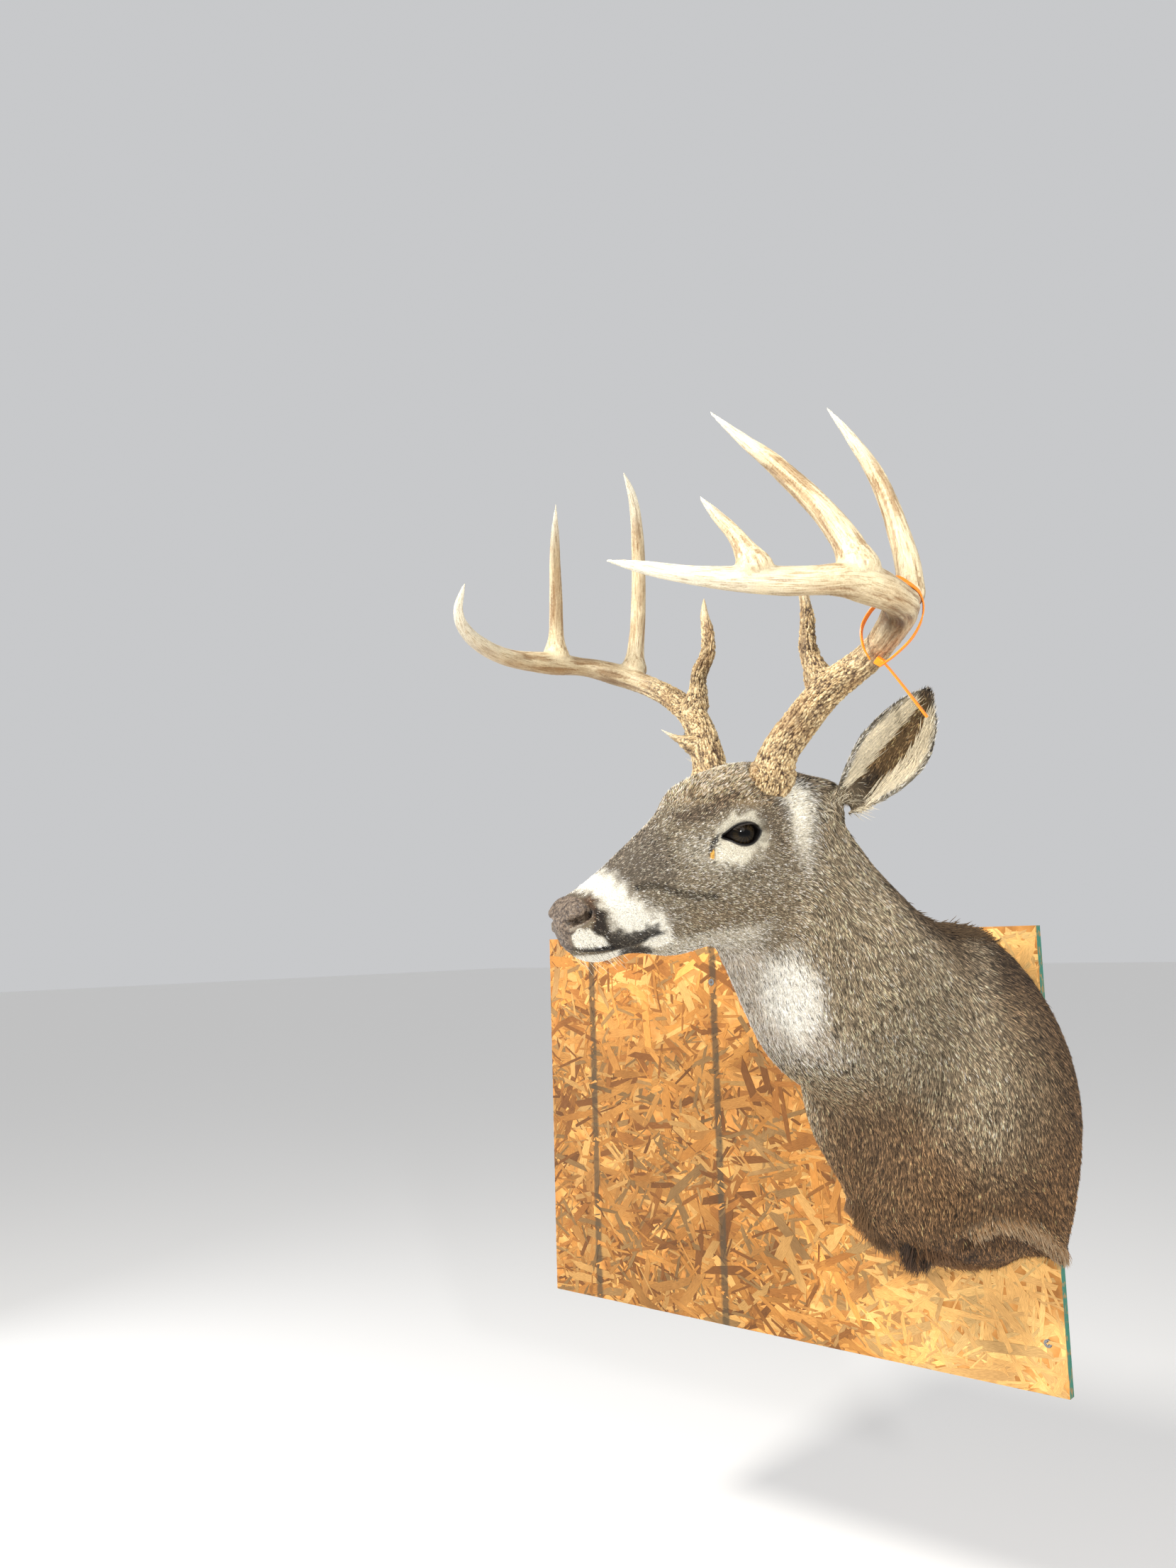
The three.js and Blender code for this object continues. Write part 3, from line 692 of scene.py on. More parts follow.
RING_OUTER = [(29, 3), (24, 13), (14, 19.5), (1, 21.5), (-13, 16), (-20, 5), (-18, -12),
              (-7, -23), (10.5, -28), (30, -26), (38, -17), (35, -5)]
MUZZLE_BAND = [(166, -24), (158, -14), (150, 4), (140, 4), (134, -8), (132, -20), (129, -28),
               (123, -39), (114, -49), (97, -61), (86, -72), (88, -80), (98, -78), (110, -76),
               (130, -74), (143, -66), (149, -56), (154, -44), (158, -33)]
NOSE_BACK = [(-20, 167), (-31, 169), (-38, 170), (-45, 166), (-50, 166), (-55, 172.5),
             (-59, 180), (-64, 182), (-70, 181), (-79, 178), (-84, 178)]
LIP_BLACK = [(165, -42), (158, -44), (153, -52), (153, -60), (146, -66), (134, -71), (122, -72),
             (110, -70), (100, -71), (92, -77), (96, -82), (120, -86), (150, -83), (158, -78),
             (164, -69), (168, -62), (166, -52)]
LIP_WHITE = [(183, -60), (181, -69), (177, -77), (170, -79.5), (158, -80), (150, -78), (160, -71),
             (166, -65), (172, -60), (178, -58)]
CHIN_BLACK = [(136, -85), (120, -86), (108, -88), (97, -93), (92, -100), (100, -107), (120, -104),
              (134, -95)]
CHIN_WHITE = [(112, -86), (106, -82), (96, -81), (88, -80), (82, -86), (88, -93), (100, -93)]


def nose_share(points):
    """1 on the bare nose pad."""
    heights, backs = np.array(NOSE_BACK, float)[::-1].T
    return smooth(-0.7, 0.7, points[:, 0] - np.interp(points[:, 2], heights, backs))


def lay(tint, *layers):
    """Lays colours over one another; each layer is a colour's name and its share at each point."""
    for name, share in layers:
        tint = blend(tint, COAT_COLOURS[name], share)
    return tint


def stripes(points, table):
    """Layers for stripes: colour, line, the distances where it is full and gone, and strength."""
    return [(name, near_line(points, line, near, far) * strength)
            for name, line, near, far, strength in table]


BROW_STRIPE = [(50, 16, 20), (40, 31, 22), (30, 40, 26), (16, 45, 31), (0, 44, 37)]
STRIPES_BEHIND_EYE = (
    ("black", [(-50, 55, 38), (-60, 60, 33), (-80, 60, 38), (-100, 66, 37)], 3, 11, 0.8),
    ("cream", [(-58, 62, 24), (-64, 66, 8), (-66, 66, -16), (-72, 64, -44)], 8, 28, 0.95),
    ("cream", [(-66, 66, 22), (-84, 72, 4), (-98, 76, -4)], 3, 12, 0.6),
)
STRIPES_ROUND_EYE = (
    ("brow", [(-22, 60, 12), (-30, 60, 0), (-34, 60, -18)], 3, 12, 0.5),
    ("brow", [(-22, 50, 36), (-34, 56, 28), (-42, 60, 12)], 4, 14, 0.7),
    ("brow", [(34, 42, -33), (12, 52, -38), (-10, 56, -34)], 2, 9, 0.4),
    # Black along the cheek crease is painted shade in the fold.
    ("black", CHEEK_CREASE, 1.6, 4.6, 0.97),
)
NOSTRIL_RIM = [(184, 15, -59.5), (180, 20.5, -58.5), (176.5, 24, -56)]
CHEEK_PALE = [(38, -4), (34, 4), (56, 0), (64, -12), (50, -26), (34, -32), (10, -34), (-10, -28)]
MUZZLE_BROWN = [(170, -28), (164, -28), (160, -34), (158, -44), (158, -62), (166, -62), (170, -56),
                (167, -47)]


def face_colour(points):
    """Colour of the hide over the head; points in the head's frame."""
    half = fold_head(points)
    x, out, z = half.T
    side_view = half[:, [0, 2]]
    wander = blotches(half, 9, 3) - 0.5
    ragged = side_view + np.column_stack([wander * 10, (blotches(half, 7, 5) - 0.5) * 9])
    frayed = side_view + (ragged - side_view) * 0.4
    steep = smooth(8, 20, out)
    top = smooth(20, 34, z - 0.18 * x)
    nose = nose_share(points)
    tint = blend(COAT_COLOURS["cheek"], COAT_COLOURS["jaw"], smooth(-50, -68, z) * smooth(90, 60, x))
    tint = lay(
        tint,
        ("neck", smooth(-20, -60, x) * smooth(20, -20, z)),
        ("bridge", smooth(58, 84, x) * smooth(-46, -22, z) * 0.9),
        ("gold", top * smooth(-46, -26, x) * smooth(60, 34, x) * 0.95),
        ("brow", smooth(0.42, 0.72, blotches(half, 11, 41)) * top * 0.75),
        ("brow", near_line(half, BROW_STRIPE, 3, 13) * 0.8),
        ("brow", smooth(8, 2, out) * smooth(40, 60, x) * smooth(140, 110, x) * 0.35),
        ("nape", smooth(-46, -80, x) * smooth(16, 34, z) * 0.85),
        *stripes(half, STRIPES_BEHIND_EYE),
        ("pale", inside_outline(ragged, CHEEK_PALE, 8) * 0.5 * steep),
        ("ring", inside_outline(ragged, RING_OUTER, 4.5) * 0.9 * steep),
        *stripes(half, STRIPES_ROUND_EYE),
        ("jaw_under", smooth(-82, -90, z) * smooth(104, 92, x) * smooth(-30, 10, x) * 0.75))

    band = inside_outline(ragged, MUZZLE_BAND, 9)
    over = smooth(-24, -14, z) * smooth(126, 142, x) * smooth(160, 152, x) * smooth(16, 6, out)
    lip_view = side_view + (ragged - side_view) * 0.75
    return lay(
        tint,
        ("white", np.maximum(band, over * 0.8)),
        ("brown", inside_outline(ragged, MUZZLE_BROWN, 3) * steep),
        ("black", inside_outline(lip_view, LIP_BLACK, 4) * steep * 0.88),
        ("white", inside_outline(frayed, LIP_WHITE, 2) * 0.9),
        ("white", smooth(-84.5, -87, z) * smooth(118, 128, x) * 0.92),
        ("black", inside_outline(frayed, CHIN_BLACK, 3) * 0.95),
        ("lip", near_line(half, MOUTH, 1.6, 3.4)),
        ("white", inside_outline(frayed, CHIN_WHITE, 3) * 0.8 * steep),
        ("nose", nose),
        ("pale", nose * near_line(half, NOSTRIL_RIM, 0.8, 2.6) * 0.55),
        ("lip", near_line(half, NOSTRIL, 2.2, 3.8)),
        ("black", near_line(half, TEAR_LINE, 1.6, 3.8) * 0.95),
        ("lip", smooth(2.7, 1.6, lid_gap(half))),
        ("duct", near_line(half, DUCT_SPOT, 1.5, 2.8)))


THROAT_PATCH = (-29, 55, -165)
MIDDLE = 250
FLAP = [(308, -125, -60), (325, -114, -50), (347, -83, -58), (354, -47, -80), (355, -18, -98)]
UNDER_FLAP = np.array(FLAP) + [-12, 4, -14]
BRISKET_MIDDLE = 258


def either_side(points):
    """Points of the trunk folded onto the buck's left half."""
    return np.column_stack([MIDDLE + np.abs(points[:, 0] - MIDDLE), points[:, 1:]])




# A painted highlight: a pale streak down the shoulder where light falls on the coat.
SHOULDER_HIGHLIGHT = [(300, -44, 232), (326, -105, 187), (341, -141, 134), (350, -156, 69),
                   (348, -155, 38)]


def body_colour(points):
    """Colour of the hide over the neck and trunk; points in the row frame."""
    from_top = np.abs(np.degrees(unwrap_body(points)[1]))
    x, y, z = points.T
    wander = (blotches(points, 60, 11) - 0.5) * 50
    half = fold_head(to_head(points))
    patch = near_ball(half + (blotches(half, 14, 9) - 0.5)[:, None] * 16, THROAT_PATCH, (37, 36, 52))
    trunk = either_side(points)
    tint = blend(COAT_COLOURS["neck"], COAT_COLOURS["shoulder"], smooth(-190, -70, y))
    return lay(
        tint,
        ("side", smooth(-96, -24, y + wander * 0.3) * 0.85),
        ("nape", smooth(62, 20, from_top + wander) * 0.85),
        # Pale grey-pink on the throat's underside: the pale throat hair, with painted shade making it darker
        # than the white patches.
        ("throat_front", smooth(140, 168, from_top + wander * 0.3) * smooth(96, 140, z) * 0.85),
        ("chest", smooth(128, 160, from_top + wander * 0.6) * smooth(120, 40, z) * 0.7),
        ("chest", smooth(110, -60, z) * 0.75),
        ("throat", patch * 0.95),
        # Painted highlight down the shoulder.
        ("streak", near_line(trunk, SHOULDER_HIGHLIGHT, 6, 30) * 0.45),
        # Painted highlight: lighter along the flap's ridge.
        ("streak", near_line(trunk, FLAP, 3, 12) * 0.6),
        # Painted shade: darker brown in the fold under the flap.
        ("brisket", near_line(trunk, UNDER_FLAP, 3, 13) * 0.6),
        ("brisket", smooth(-56, -92, z) * smooth(330, 300, x) * smooth(170, 200, x) * 0.6))


def ear_colour(places):
    """Colour of the hide over the ears; places as the ear finder gives them."""
    _, _, t, across, inner = places.T
    edge = np.abs(across) * 2
    back = lay(
        COAT_COLOURS["ear_back"],
        ("pale", smooth(0.3, 0.05, t) * 0.6),
        ("ear_tip", smooth(0.55, 1, t) * 0.8),
        ("pale", smooth(0.75, 0.95, edge) * smooth(0.7, 0.4, t) * 0.5))
    rim = smooth(0.86, 0.96, edge) * (0.45 + 0.5 * smooth(0.3, 0.7, t))
    hollow = lay(
        COAT_COLOURS["ear_hollow"],
        ("ear_hair", smooth(0.35, 0.8, edge)),
        # Near-black deep in the hollow near the ear's base is painted shade.
        ("black", smooth(0.4, 0.05, edge) * smooth(0.42, 0.2, t) * 0.85),
        ("ear_tip", np.maximum(rim, smooth(0.86, 0.98, t) * 0.9)))
    return blend(back, hollow, inner)


def hide_colour(points):
    """The hide's markings, with some painted highlights and shade, at points in the row frame: what the skin
    and every tuft share.
    """
    head_points = to_head(points)
    places = EARS.find(head_points)
    x, _, z = head_points.T
    on_head = smooth(-90, -54, x + 0.35 * z)
    on_head *= np.maximum(smooth(-132, -100, z), smooth(16, 40, x))
    tint = blend(body_colour(points), face_colour(head_points), on_head)
    return blend(tint, ear_colour(places), places[:, 0])


# ---------------------------------------------------------------- how the hair lies
COAT_DEPTH = {"body": 2.6, "neck": 2.4, "head": 1.4, "ear": 1.0, "bare": 0.15}


def head_share(head_points):
    x, _, z = head_points.T
    return smooth(-95, -50, x + 0.3 * z) * np.maximum(smooth(-132, -104, z), smooth(16, 40, x))


def bare_share(head_points):
    """1 on the nose pad, the lips and the lids' edges, where no tufts grow."""
    half = fold_head(head_points)
    lips = near_line(half, MOUTH, 1.4, 3.0)
    nostril = near_line(half, NOSTRIL, 3, 5)
    crease = near_line(half, CHEEK_CREASE, 0.6, 2.8)
    duct = near_line(half, [*TEAR_LINE, *DUCT_SPOT], 1.3, 2.8)
    lids = smooth(2.5, 1.5, lid_gap(half))
    return np.max([nose_share(half), lips, nostril, lids, crease, duct], axis=0)


def coat_depth(points):
    head_points = to_head(points)
    ears = EARS.find(head_points)[:, 0]
    depth = between(COAT_DEPTH["neck"], COAT_DEPTH["body"], smooth(-200, -100, points[:, 1]))
    depth = between(depth, COAT_DEPTH["head"], head_share(head_points))
    depth = between(depth, COAT_DEPTH["bare"], bare_share(head_points))
    return between(depth, COAT_DEPTH["ear"], ears)


def ear_axis(name):
    return unit((np.array(EAR["tip"][name]) - EAR["root"]) * [1, SIDES[name], 1])


def lie_directions(points, normals):
    """Which way the hair lies at each point, along the surface."""
    head_points = to_head(points)
    i, _ = unwrap_body(points)
    body = SPINE_AHEAD[i] * 0.75 + np.array([0, 0, -1.0]) * 0.8
    from_middle = (points[:, 0] - BRISKET_MIDDLE) / 100
    body[:, 0] -= from_middle * 0.25 * smooth(60, -60, points[:, 2])
    half = fold_head(head_points)
    from_eye = (half - EYE_CENTRE) * [1, 0, 1]
    reach = np.linalg.norm(from_eye, axis=1)
    away = from_eye / np.maximum(reach, 1)[:, None]
    face = np.array([-1.0, 0, 0]) + away * np.exp(-(reach / 34) ** 2)[:, None] * 1.3
    face[:, 2] -= smooth(-20, -70, half[:, 2]) * 0.35
    face[:, 2] -= smooth(120, 170, half[:, 0]) * 0.4
    lie = blend(body, face @ HEAD_AXES.T, head_share(head_points))
    places = EARS.find(head_points)
    for number, name in enumerate(SIDES):
        mine = places[:, 0] * (places[:, 1] == number)
        lie = blend(lie, ear_axis(name) @ HEAD_AXES.T, mine)
    return flatten_to(lie, normals)


# ---------------------------------------------------------------- hair
def triangles_of(item):
    """The points at the corners of each of the mesh's triangles."""
    mesh = item.data
    mesh.calc_loop_triangles()
    corners = np.empty(len(mesh.loop_triangles) * 3, np.int32)
    mesh.loop_triangles.foreach_get("vertices", corners)
    return corners.reshape(-1, 3)


def scatter(item, density, dice):
    """Random places on the mesh with so many per square millimetre; returns points and normals."""
    corners = triangles_of(item)
    points = points_of(item)
    normals = normals_of(item)
    a, b, c = (points[corners[:, i]] for i in range(3))
    area = np.linalg.norm(np.cross(b - a, c - a), axis=1) / 2
    wanted = area * density((a + b + c) / 3)
    counts = np.floor(wanted + dice.random(len(wanted))).astype(int)
    triangle = np.repeat(np.arange(len(counts)), counts)
    u = dice.random(len(triangle))
    v = dice.random(len(triangle))
    over = u + v > 1
    u[over] = 1 - u[over]
    v[over] = 1 - v[over]
    weights = np.stack([1 - u - v, u, v], axis=1)[:, :, None]
    places = np.sum(points[corners[triangle]] * weights, axis=1)
    facing = unit(np.sum(normals[corners[triangle]] * weights, axis=1))
    return places, facing


LOCK_STATIONS = {"straight": (), "bent": (0.38, 0.74)}
BAKE_PATCH = 0.003
HAIR_BACK = -11.7


def build_locks(name, roots, normals, lies, lengths, widths, lifts, base_tint, tip_tint, patches,
                shape="straight", droop=0.0):
    """One mesh of solid tapering locks of hair, each a closed spike rooted in the skin."""
    stations = LOCK_STATIONS[shape]
    count = len(roots)
    sides = np.cross(lies, normals)
    reach = lies * np.cos(lifts)[:, None] + normals * np.sin(lifts)[:, None]
    sunk = roots - normals * 0.5
    section = [(-0.5, 0.0), (0.5, 0.0), (0.0, 0.55)]
    rings = []
    for share in (0.0, *stations):
        girth = widths * (1 - share ** 2 * 0.75) * (0.8 if share == 0 and stations else 1)
        middle = sunk + reach * (lengths * share)[:, None]
        middle = middle - normals * (droop * lengths * share ** 2)[:, None]
        for across, rise in section:
            rings.append(middle + sides * (girth * across)[:, None] + normals * (girth * rise)[:, None])
    tips = sunk + reach * lengths[:, None] - normals * (droop * lengths)[:, None]
    per_lock = len(rings) + 1
    points = np.stack([*rings, tips], axis=1)
    points[:, :, 1] = np.minimum(points[:, :, 1], HAIR_BACK)
    pattern = [(0, 1, 2)]
    for ring in range(len(stations)):
        low = ring * 3
        for i in range(3):
            j = (i + 1) % 3
            pattern += [(low + i, low + 3 + i, low + j), (low + j, low + 3 + i, low + 3 + j)]
    last = len(stations) * 3
    pattern += [(last + i, per_lock - 1, last + (i + 1) % 3) for i in range(3)]
    pattern = np.array(pattern)
    faces = (np.arange(count)[:, None, None] * per_lock + pattern[None]).reshape(-1, 3)
    item = mesh_object(name, points.reshape(-1, 3), faces, smoothed=False)

    heights = np.repeat(np.array([0.0, *stations]), 3)
    heights = np.concatenate([heights, [1.0]])[None, :, None]
    tints = base_tint[:, None, :] * (1 - heights) + tip_tint[:, None, :] * heights
    paint(item, "Coat", tints.reshape(-1, 3))
    turns = np.linspace(0, 2 * math.pi, per_lock, endpoint=False)
    spread = np.column_stack([np.cos(turns), np.sin(turns)]) * (BAKE_PATCH / 2)
    spots = patches[:, None, :] + spread[None]
    layer = item.data.uv_layers.new(name="OFBake")
    layer.data.foreach_set("uv", spots.reshape(-1, 2)[faces.ravel()].astype(np.float32).ravel())
    return item


def bake_patches(points):
    """Where each root lies on the hide's own unwrap, spread over the unit square."""
    head_points = to_head(points)
    places = EARS.find(head_points)
    i, angle = unwrap_body(points)
    flat = np.stack([angle / (2 * math.pi) + 0.5, SPINE_PLACES[i] / SPINE_PLACES[-1]], axis=1)
    on_ear = places[:, 0] > 0.5
    ear_flat = np.stack([places[:, 3] * 0.46 + 0.25 + places[:, 4] * 0.5, places[:, 2]], axis=1)
    flat[on_ear] = ear_flat[on_ear]
    low = flat.min(axis=0)
    high = flat.max(axis=0)
    return 0.01 + 0.98 * (flat - low) / np.maximum(high - low, 1e-6)


def clump(roots, tips, spacing, pull, dice):
    """Draws the tips of neighbouring locks a little together, into wisps."""
    seeds = dice.choice(len(roots), max(len(roots) // spacing, 1), replace=False)
    nearest = seeds[nearest_samples(roots, roots[seeds])]
    return tips + (tips[nearest] - tips) * (pull * dice.random(len(roots)))[:, None]


COAT_GAIN = {"body": 1.04, "head": 1.6}


def brighten(tints, on_head):
    """Makes up for the shade between the locks."""
    gain = between(COAT_GAIN["body"], COAT_GAIN["head"], np.reshape(on_head, (-1, 1)))
    return np.clip(tints * gain, 0, 0.92)


def grizzle(tints, places, on_head, dice):
    """Base and tip colours for each lock: some dark, the rest with a pale band towards the tip."""
    count = len(tints)
    pale = tints @ np.array([0.3, 0.59, 0.11])
    contrast = between(0.9, 1.0, on_head) * (1 - 0.72 * smooth(0.3, 0.7, pale))
    specks = blotches(places, 2.2, 31) - 0.5
    tone = np.exp(dice.normal(0, 0.2, count) + specks * 2.2 * contrast)[:, None]
    dark = dice.random(count) < 0.38 - specks * 0.9
    grey = pale[:, None] * [1.04, 1.0, 0.88]
    light = blend(tints, grey, 0.08 + 0.2 * on_head)
    base = tints * (1 - np.where(dark, 0.85, 0.6) * contrast)[:, None]
    tip = np.where(dark[:, None], tints * (1 - 0.9 * contrast)[:, None],
                   light * (1.1 + 2.5 * contrast * dice.random(count) ** 0.8)[:, None])
    fleck = np.where((pale > 0.4) & (dice.random(count) < 0.12), 0.22, 1.0)[:, None]
    frosted = dice.random(count) < np.where(pale < 0.014, 0.05, 0.16) * on_head * (pale < 0.04)
    tip = np.where(frosted[:, None], COAT_COLOURS["cream"] * 0.6, tip * tone * fleck)
    return brighten(base * tone * fleck, on_head), brighten(tip, on_head)


def turn_about(vectors, normals, angles):
    """Turns each vector in the plane of its normal."""
    sides = np.cross(normals, vectors)
    return vectors * np.cos(angles)[:, None] + sides * np.sin(angles)[:, None]


HAIR = {
    # lock length, width (mm), lift (degrees), locks per square millimetre
    "trunk": (6.0, 0.88, 11.0, 0.53),
    "neck": (5.8, 0.85, 11.0, 0.6),
    "cheek": (3.3, 0.75, 13.0, 0.97),
    "crown": (4.6, 0.7, 20.0, 0.9),
    "muzzle": (2.9, 0.6, 12.0, 1.12),
    "eye": (2.8, 0.58, 10.0, 1.3),
    "ear": (5.0, 0.8, 8.0, 0.75),
}


def hair_growth(points):
    """Length, width, lift and density of the locks at each point of the hide."""
    head_points = to_head(points)
    places = EARS.find(head_points)
    half = fold_head(head_points)
    x, _, z = half.T
    values = blend(np.array(HAIR["neck"]), np.array(HAIR["trunk"]), smooth(-210, -110, points[:, 1]))
    on_head = head_share(head_points)
    face = np.tile(np.array(HAIR["cheek"]), (len(points), 1))
    face = blend(face, np.array(HAIR["crown"]), smooth(22, 36, z - 0.18 * x) * smooth(70, 40, x))
    face = blend(face, np.array(HAIR["muzzle"]), smooth(70, 130, x))
    around_eye = np.linalg.norm((half - EYE_CENTRE) * [1, 0.5, 1], axis=1)
    face = blend(face, np.array(HAIR["eye"]), smooth(38, 22, around_eye))
    values = blend(values, face, on_head)
    values = blend(values, np.array(HAIR["ear"]), places[:, 0])
    values[:, 3] *= 1 - bare_share(head_points)
    values[:, 3] *= smooth(-11.9, -14, points[:, 1])
    return values, places, on_head


class BUCK_PG_hair(bpy.types.PropertyGroup):
    """How thick and how long the coat grows."""

    density: bpy.props.FloatProperty(
        name="Density", description="How thickly the locks grow, against the usual",
        default=1.0, min=0.05, max=2.0)
    length: bpy.props.FloatProperty(
        name="Length", description="How long the locks are, against the usual",
        default=1.0, min=0.3, max=2.0)
    seed: bpy.props.IntProperty(name="Seed", description="Start of the random scatter", default=7)


def piece_of(points, places, on_head):
    """Which coat piece each lock belongs to."""
    head_points = to_head(points)
    _, angle = unwrap_body(points)
    body_side = np.where(angle > 0, "left", "right")
    head_side = np.where(head_points[:, 1] > 0, "left", "right")
    region = np.where(points[:, 2] > 40, "shoulder", "brisket")
    region = np.where(points[:, 1] > -150, region, "neck")
    region = np.where(on_head > 0.5, "head", region)
    on_ear = places[:, 0] > 0.5
    region = np.where(on_ear, "ear", region)
    side = np.where((region == "head") | on_ear, head_side, body_side)
    return np.char.add(np.char.add(region, "_"), side)


class BUCK_OT_coat(bpy.types.Operator):
    """Grow the short coat over the whole hide"""

    bl_idname = "buck.coat"
    bl_label = "Coat"

    def execute(self, context):
        settings = context.scene.buck_hair
        dice = np.random.default_rng(settings.seed)
        hide = bpy.data.objects["hide"]
        thin = 1.0
        places, facing = scatter(
            hide, lambda p: hair_growth(p)[0][:, 3] * settings.density * thin, dice)
        growth, ear_places, on_head = hair_growth(places)
        kind = piece_of(places, ear_places, on_head)
        lies = lie_directions(places, facing)
        waviness = (blotches(places, 45, 21) - 0.5) * 0.7
        lies = turn_about(lies, facing, waviness * (1 - on_head) + dice.normal(0, 0.13, len(places)))
        wander = dice.normal(0, 1, places.shape) * between(6.0, 3.0, on_head)[:, None]
        wander *= smooth(1, 9, lid_gap(to_head(places)))[:, None] * 0.8 + 0.2
        wander *= 1 - 0.85 * ear_places[:, :1]
        half = fold_head(to_head(places))
        wander *= 1 - 0.6 * near_line(half, MOUTH, 8, 22)[:, None]
        tints = hide_colour(places + wander)
        lengths = growth[:, 0] * settings.length * np.exp(dice.normal(0, 0.16, len(places)))
        widths = growth[:, 1] * np.exp(dice.normal(0, 0.2, len(places)))
        lifts = np.radians(growth[:, 2] * np.exp(dice.normal(0, 0.35, len(places))))
        reach = lies * np.cos(lifts)[:, None] + facing * np.sin(lifts)[:, None]
        tips = clump(places, places + reach * lengths[:, None], 22, 0.35, dice)
        toward = tips - places
        lengths = np.linalg.norm(toward, axis=1)
        rise = np.clip(np.sum(toward * facing, axis=1) / lengths, 0.05, 0.8)
        lifts = np.arcsin(rise)
        lies = flatten_to(toward, facing)
        base, tip = grizzle(tints, places, np.maximum(on_head, ear_places[:, 0]), dice)
        for name in np.unique(kind):
            mine = kind == name
            item = build_locks(
                f"coat_{name}", places[mine], facing[mine], lies[mine], lengths[mine], widths[mine],
                lifts[mine], base[mine], tip[mine], bake_patches(places[mine]))
            finish_piece(item, "coat", coat_material())
        return {"FINISHED"}


def on_surface(tree, points):
    """The nearest places on the hide to the points, and which way the hide faces there."""
    places, facing = [], []
    for point in points:
        place, normal, _, _ = tree.find_nearest(Vector(point))
        places.append(place)
        facing.append(normal)
    return np.array(places), np.array(facing)


def spread_along(line, count, spread, dice):
    """Random points scattered about a line."""
    curve, _ = rounded_line(line, 0.5)
    picked = curve[dice.integers(len(curve), size=count)]
    return picked + dice.normal(0, spread, picked.shape)


FLAP_RIGHT = [(2 * MIDDLE - x, y, z) for x, y, z in FLAP]
LEG_EDGE = [(206, -150, -45), (192, -122, -64), (190, -104, -80), (200, -96, -92)]
BODY_TUFTS = (
    # name, line, count, spread, length, lift, direction, colours of root and tip
    ("long_withers", [(262, -118, 262), (286, -60, 258), (300, -20, 250)], 700, 13, 15.0, 22.0,
     (0.1, 0.5, -0.1), "nape", "shoulder"),
    ("long_flap_left", FLAP, 620, 4, 13.0, 12.0, (0.1, 0.5, -1), "chest", "streak"),
    ("long_flap_right", FLAP_RIGHT, 620, 4, 13.0, 12.0, (-0.1, 0.5, -1), "side", "chest"),
    ("long_leg_right", LEG_EDGE, 900, 6, 17.0, 34.0, (-0.3, 0.1, -1), "side", "chest"),
    ("long_crest", [(250, -146, -76), (248, -128, -88), (256, -113, -94)], 420, 3.5, 19.0, 38.0,
     (-0.2, -0.1, -1), "black", "brisket"),
    ("long_brisket", [(246, -138, -84), (258, -128, -92), (262, -84, -108), (256, -30, -122)],
     1000, 9, 20.0, 16.0, (0, 0.3, -1), "brisket", "chest"),
)
EAR_HAIRS = 1800
EAR_FRONT = [(-94, 70, 14), (-101, 78, 14), (-105, 88, 18), (-104, 98, 8)]
EAR_FRONT_HAIRS = 300
LASHES = 150
WHISKERS = (
    ("long_whiskers_lip", [(178, 14, -74), (168, 20, -75), (156, 24, -75), (142, 27, -74)], 24.0,
     "black"),
    ("long_whiskers_chin", [(170, 8, -86), (158, 12, -89), (144, 14, -91), (128, 16, -94)], 20.0,
     "ring"),
)
WHISKER_COUNT = 26


